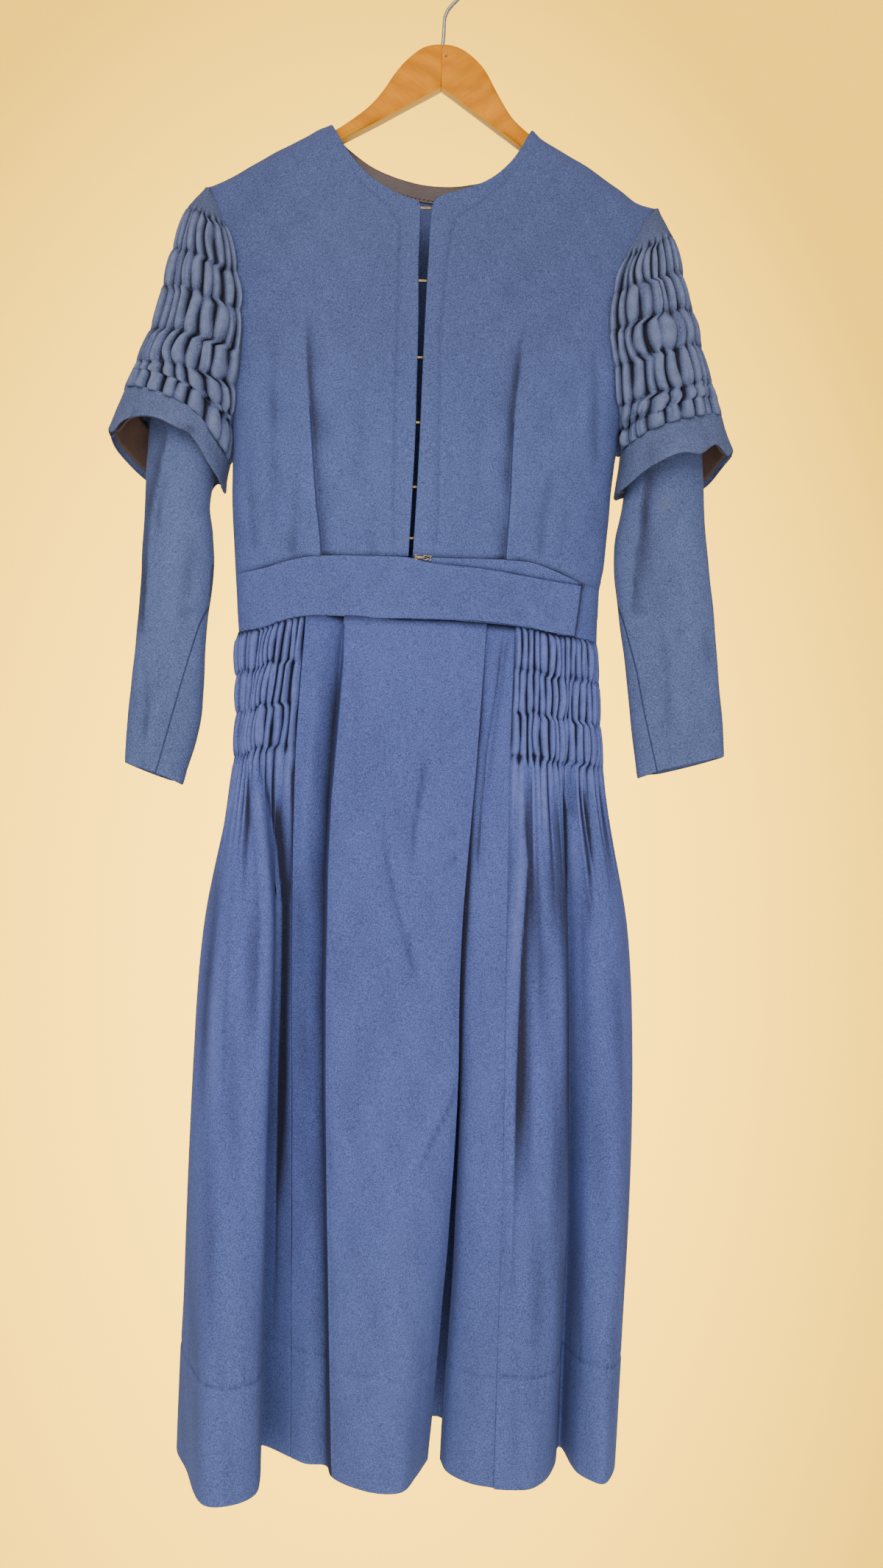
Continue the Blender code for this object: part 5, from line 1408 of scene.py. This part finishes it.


# Painted light and shade: this copy of the crepe has its own blue, set to how light falls on the skirt.
SKIRT_CREPE = crepe("skirt_crepe", blue=(0.0755, 0.1015, 0.300))
for name, node, folds, gathers, seed, cut in (
        ("hip_right", "skirt_side_right", SIDE_RIGHT_FOLDS, 25, 1.0, (0.40, 0.76)),
        ("hip_left", "skirt_side_left", SIDE_LEFT_FOLDS, 27, 2.0, (0.40, 0.76))):
    panel = cloth_piece(f"{name}_crepe", SKIRT_CREPE, hip_warp(skirt_panel(folds), gathers, seed),
                        gathered_lines(gathers), skirt_rows(True), cut, hip_relief(gathers, seed),
                        middle=BODY_AXIS, sag=0.2, shade_and_wear_height=1.7, painted_shadows=HIP_HOLLOWS[name])
    sew(panel, node)
for name, node, folds, columns, relief, cut, area, painted_shadows in (
        ("wrap", "skirt_front", FRONT_FOLDS, 96, front_relief, (0.25, 0.76), 0.15, WRAP_HOLLOWS),
        ("underlap", "skirt_under", UNDER_FOLDS, 40, under_relief, (0.06, 0.76), 0.04,
         (UNDER_WRAP, UNDER_BAND, ([(62.7, -572), (56.9, -631), (50, -685), (47, -732), (44.7, -790)],
                                   2.0, 0.5, 0.6))),
        ("skirt_back", "skirt_back", BACK_FOLDS, 92, skirt_back_relief, (0.42, 0.76), 0.22, ())):
    across = spaced(columns, 250 if name == "wrap" else None)
    if name == "wrap":
        across = np.union1d(across, np.linspace(4.2, 7.8, 48) / 18)
    # The wrap's pleat line gets painted shade along its fold.
    panel = cloth_piece(f"{name}_crepe", SKIRT_CREPE, skirt_panel(folds), across, skirt_rows(False), cut,
                        relief, middle=BODY_AXIS, seams=[(PLEAT, 1.6)] if name == "wrap" else (),
                        shade_and_wear_height=8.0 if name == "skirt_back" else 4.0, painted_shadows=painted_shadows)
    sew(panel, node)

# ---------------------------------------------------------------- hooks and eyes
# Six bent brass hooks close the opening from behind, each in a round wire eye, and a seventh pair
# holds the waistband. All are sewn down through their loops with blue thread.
OPENING = Table("z right left",
                (-213, -18.6, -8.4), (-239, -19.9, -8.5), (-270, -18.8, -10.2), (-292, -16.8, -11.2),
                (-351, -16.8, -12.4), (-402, -16.5, -12.6), (-446, -17.1, -13.6), (-489, -18.4, -15.0),
                (-521, -19.6, -16.4))
FASTENERS = (-221.5, -287, -354, -409.5, -463, -505)
BILL = 2.2
WIRE = 0.42


def bright_metal(name, colour, roughness, worn):
    """Drawn wire, a little duller and darker where it has been handled."""
    finish, tree, shader, spot = new_finish(name)
    patina = add(tree, "TexNoise", {"Vector": spot, "Scale": 700, "Detail": 3}).outputs["Fac"]
    share = add(tree, "MapRange", {"Value": patina, "From Min": 0.35, "From Max": 0.7}).outputs[0]
    tone = add(tree, "Mix", data_type="RGBA")
    tree.links.new(share, tone.inputs[0])
    tone.inputs[6].default_value = (*colour, 1)
    tone.inputs[7].default_value = (*[c * w for c, w in zip(colour, worn)], 1)
    tree.links.new(tone.outputs[2], shader.inputs["Base Color"])
    shader.inputs["Metallic"].default_value = 1.0
    rough = add(tree, "MapRange", {"Value": patina, "To Min": roughness - 0.08,
                                   "To Max": roughness + 0.12})
    tree.links.new(rough.outputs[0], shader.inputs["Roughness"])
    return finish


def bent_wire(name, finish, run, radius, node, sides=4):
    """A round wire through the points of its run."""
    curve = bpy.data.curves.new(name, "CURVE")
    curve.dimensions = "3D"
    curve.bevel_depth = radius * MM
    curve.bevel_resolution = sides
    curve.use_fill_caps = True
    spline = curve.splines.new("POLY")
    spline.points.add(len(run) - 1)
    for knot, place in zip(spline.points, run):
        knot.co = (*(Vector(place) * MM), 1)
    curve.materials.append(finish)
    piece = bpy.data.objects.new(name, curve)
    bpy.context.collection.objects.link(piece)
    place_on_dress(piece, node)


def arc(middle, radius, start, end, count):
    """Points on part of an upright circle seen from the front, in degrees."""
    points = []
    for k in range(count + 1):
        turn = math.radians(mix(start, end, k / count))
        a, b = math.cos(turn) * radius, math.sin(turn) * radius
        points.append(Vector(middle) + Vector((a, 0, b)))
    return points


BRASS = bright_metal("aged_brass", (0.60, 0.42, 0.17), 0.34, (0.45, 0.4, 0.35))
sewn_loops = []


def hook_and_eye(number, start, reach, y, z):
    """A hook of doubled wire with two sewing loops and a bill, and the round eye that it holds."""
    run = arc((start - 1.3, y, z + 1.35), 0.95, -60, 240, 9)
    run += [Vector((start + 1.0, y, z + 0.5)), Vector((reach - 0.6, y, z + 0.45))]
    run += [Vector((reach + 0.8, y + BILL * 0.3, z + 0.3)), Vector((reach + 0.9, y + BILL * 0.75, z)),
            Vector((reach - 1.6, y + BILL, z)), Vector((reach + 0.9, y + BILL * 0.75, z - 0.05)),
            Vector((reach + 0.8, y + BILL * 0.3, z - 0.3))]
    run += [Vector((reach - 0.6, y, z - 0.45)), Vector((start + 1.0, y, z - 0.5))]
    run += arc((start - 1.3, y, z - 1.35), 0.95, 120, 420, 9)
    bent_wire(f"hook_wire_{number}", BRASS, run, WIRE, f"hook_{number}")
    ring_y = y + BILL * 0.45
    eye = arc((reach + 4.6, ring_y, z + 1.3), 0.8, -120, 180, 8)
    eye += arc((reach + 0.8, ring_y, z), 1.9, 36, 324, 18)
    eye += arc((reach + 4.6, ring_y, z - 1.3), 0.8, 180, 480, 8)
    bent_wire(f"eye_wire_{number}", BRASS, eye, WIRE * 0.85, f"eye_{number}")
    for x, side in ((start - 1.3, 1.35), (start - 1.3, -1.35), (reach + 4.8, 1.3), (reach + 4.8, -1.3)):
        for k in range(4):
            turn = math.radians(35 + 65 * k + 25 * uneven(k, number))
            out = Vector((math.cos(turn), 0, math.sin(turn))) * 1.5
            middle = Vector((x, (y if x < reach else ring_y) - 0.35, z + side))
            sewn_loops.append((middle - out * 0.15, middle + out))


for number, z in enumerate(FASTENERS, start=1):
    edges = OPENING.at(z)
    right, left = float(edges.right), float(edges.left)
    behind = float(body_depth(np.float64(right), np.float64(z), "front")) - CLOTH - NAP - 0.9
    hook_and_eye(number, right - 5, left + 1.2, -behind, z)
BAND_HOOK_X, BAND_HOOK_Z = -12.0, -521.8
before = (float(body_depth(np.float64(BAND_HOOK_X), np.float64(BAND_HOOK_Z), "front")) + BAND_PROUD
          + SEAM / 2 + NAP + 0.45 + BILL)
hook_and_eye(7, BAND_HOOK_X, -6.2, -before, BAND_HOOK_Z)
stitches("fastener_sewing", BLUE_THREAD, sewn_loops, 0.4)

# ---------------------------------------------------------------- hanger
# Two shaped arms of lacquered hardwood, jointed in the middle with a comb joint and a pin, and a
# drawn steel hook whose bend lies above the picture's edge.
HANGER_X = -4.0
ARM_RIGHT = Table("out top bottom",
                  (0.3, -70.4, -109), (9, -71.2, -114), (18, -74.5, -119.2), (30, -84.4, -126),
                  (39.5, -95.8, -131.4), (50, -112.2, -137.3), (61, -125.4, -143.3), (77, -138.6, -152),
                  (92, -148.6, -160.4), (111, -158.2, -171), (130, -169.4, -183), (149, -180.6, -193),
                  (166, -190.6, -202), (178, -199, -208))
ARM_LEFT = Table("out top bottom",
                 (0.3, -70.4, -109), (9, -71.2, -115), (18, -74.5, -121.5), (28, -81.6, -128.6),
                 (38, -92.4, -135.6), (48, -110.4, -142.6), (60, -130, -150.8), (70, -140.4, -158),
                 (84, -151.4, -168.4), (105.6, -168, -183), (132, -184, -199), (156, -200, -214),
                 (170, -211, -223), (176, -216, -225))


def hardwood(name, slope):
    """Varnished beech with fine grain along the arm, darker lines, rays and a few dents, and a lighter
    underside that is a painted reflection of light from below.
    """
    finish, tree, shader, spot = new_finish(name)
    laid = add(tree, "Mapping", {"Vector": spot, "Rotation": (0, slope, 0)}).outputs[0]
    long = add(tree, "Mapping", {"Vector": laid, "Scale": (1, 6, 12)}).outputs[0]
    bend = add(tree, "TexNoise", {"Vector": long, "Scale": 5.5, "Detail": 3}).outputs["Fac"]
    rings = add(tree, "TexWave", {"Vector": laid, "Scale": 16.0, "Distortion": 9.0, "Detail": 3.0,
                                  "Detail Scale": 1.2}, bands_direction="Z").outputs["Fac"]
    fine = add(tree, "TexNoise", {"Vector": add(tree, "Mapping",
                                                {"Vector": laid, "Scale": (1, 14, 30)}).outputs[0],
                                  "Scale": 45, "Detail": 4, "Roughness": 0.65}).outputs["Fac"]
    ramp = add(tree, "ValToRGB", {0: rings})
    ramp.color_ramp.elements[0].color = (0.58, 0.19, 0.004, 1)
    ramp.color_ramp.elements[1].color = (0.67, 0.235, 0.005, 1)
    tone = add(tree, "MapRange", {"Value": fine, "From Min": 0.3, "From Max": 0.7, "To Min": 0.84,
                                  "To Max": 1.1}).outputs[0]
    drift_tone = add(tree, "MapRange", {"Value": bend, "From Min": 0.3, "From Max": 0.7, "To Min": 0.9,
                                        "To Max": 1.1}).outputs[0]
    tone = add(tree, "Math", {0: tone, 1: drift_tone}, operation="MULTIPLY").outputs[0]
    dyed = add(tree, "HueSaturation", {"Value": tone, "Color": ramp.outputs["Color"]}).outputs["Color"]
    # Painted reflection: the arm's underside turns lighter, standing in for light thrown up from below.
    facing_down = add(tree, "SeparateXYZ",
                      {0: add(tree, "NewGeometry").outputs["True Normal"]}).outputs["Z"]
    under = add(tree, "MapRange", {"Value": facing_down, "From Min": -0.55, "From Max": -0.8}).outputs[0]
    painted_underside_light = add(tree, "Mix", {0: under, 6: dyed, 7: (0.98, 0.52, 0.07, 1)}, data_type="RGBA").outputs[2]
    tree.links.new(painted_underside_light, shader.inputs["Base Color"])
    shader.inputs["Roughness"].default_value = 0.5
    shader.inputs["Specular IOR Level"].default_value = 0.2
    shader.inputs["Specular Tint"].default_value = (1.0, 0.5, 0.08, 1)
    shader.inputs["Coat Weight"].default_value = 0.03
    shader.inputs["Coat Roughness"].default_value = 0.22
    raised = add(tree, "Bump", {"Height": fine, "Distance": 0.0002, "Strength": 0.5})
    tree.links.new(raised.outputs["Normal"], shader.inputs["Normal"])
    return finish


for side, sign, arm, slope in (("right", -1, ARM_RIGHT, -0.5), ("left", 1, ARM_LEFT, 0.58)):
    bm = bmesh.new()
    bmesh.ops.create_grid(bm, x_segments=60, y_segments=20, size=0.5)
    outs = np.concatenate([[0.06, 0.5], np.linspace(1.4, 176, 59)])
    for vert in bm.verts:
        out = float(np.interp((vert.co.x + 0.5) * 60, np.arange(61), outs))
        turn = (vert.co.y + 0.5) * math.tau
        size = arm.at(out)
        half = 6.0 - 2.2 * float(ease(np.float64(out), 120, 178))
        tall = float(size.top - size.bottom) / 2
        shrink = 0.3 if out < 0.2 else 0.0
        a, b = math.cos(turn), math.sin(turn)
        squared = (abs(a) ** 5 + abs(b) ** 5) ** (-1 / 5)
        vert.co = Vector((HANGER_X + sign * out, a * squared * (half - shrink),
                          float(size.top + size.bottom) / 2 + b * squared * (tall - shrink))) * MM
    bmesh.ops.remove_doubles(bm, verts=bm.verts, dist=1e-6)
    bmesh.ops.holes_fill(bm, edges=[e for e in bm.edges if e.is_boundary], sides=0)
    bmesh.ops.recalc_face_normals(bm, faces=bm.faces)
    wooden = to_piece(bm, f"arm_{side}_wood", hardwood(f"lacquered_wood_{side}", slope))
    wooden.data.set_sharp_from_angle(angle=math.radians(50))
    place_on_dress(wooden, f"hanger_arm_{side}")

bm = bmesh.new()
bmesh.ops.create_cone(bm, cap_ends=True, segments=16, radius1=1.1 * MM, radius2=0.9 * MM, depth=0.6 * MM,
                      matrix=Matrix.Translation(Vector((-0.6, -6.1, -82.2))
                                                * MM) @ Matrix.Rotation(math.pi / 2, 4, "X"))
bmesh.ops.bevel(bm, geom=bm.edges[:], offset=0.15 * MM, segments=2, affect="EDGES", profile=0.5,
                material=-1)
PIN_IRON = bright_metal("pin_iron", (0.25, 0.16, 0.09), 0.5, (0.5, 0.4, 0.35))
place_on_dress(to_piece(bm, "joint_pin", PIN_IRON), None)

STEEL = bright_metal("drawn_steel", (0.56, 0.53, 0.47), 0.24, (0.6, 0.58, 0.52))
HOOK_WIRE = 1.6
HOOK_BEND = 16.2
stem = [Vector((HANGER_X, 0, -72)), Vector((HANGER_X + 0.9, 0, -62)), Vector((-2.8, 0, -48)),
        Vector((-2.4, 0, -45)),
        Vector((-1.4, 0, -42)), Vector((0.2, 0, -38.6)), Vector((4.2, 0, -33.6))]
hook_run = stem + arc((0, 0, HOOK_WIRE - HOOK_BEND), HOOK_BEND, -44, 194, 40)
bent_wire("hook_wire_steel", STEEL, hook_run, HOOK_WIRE, "hanger_hook", sides=6)
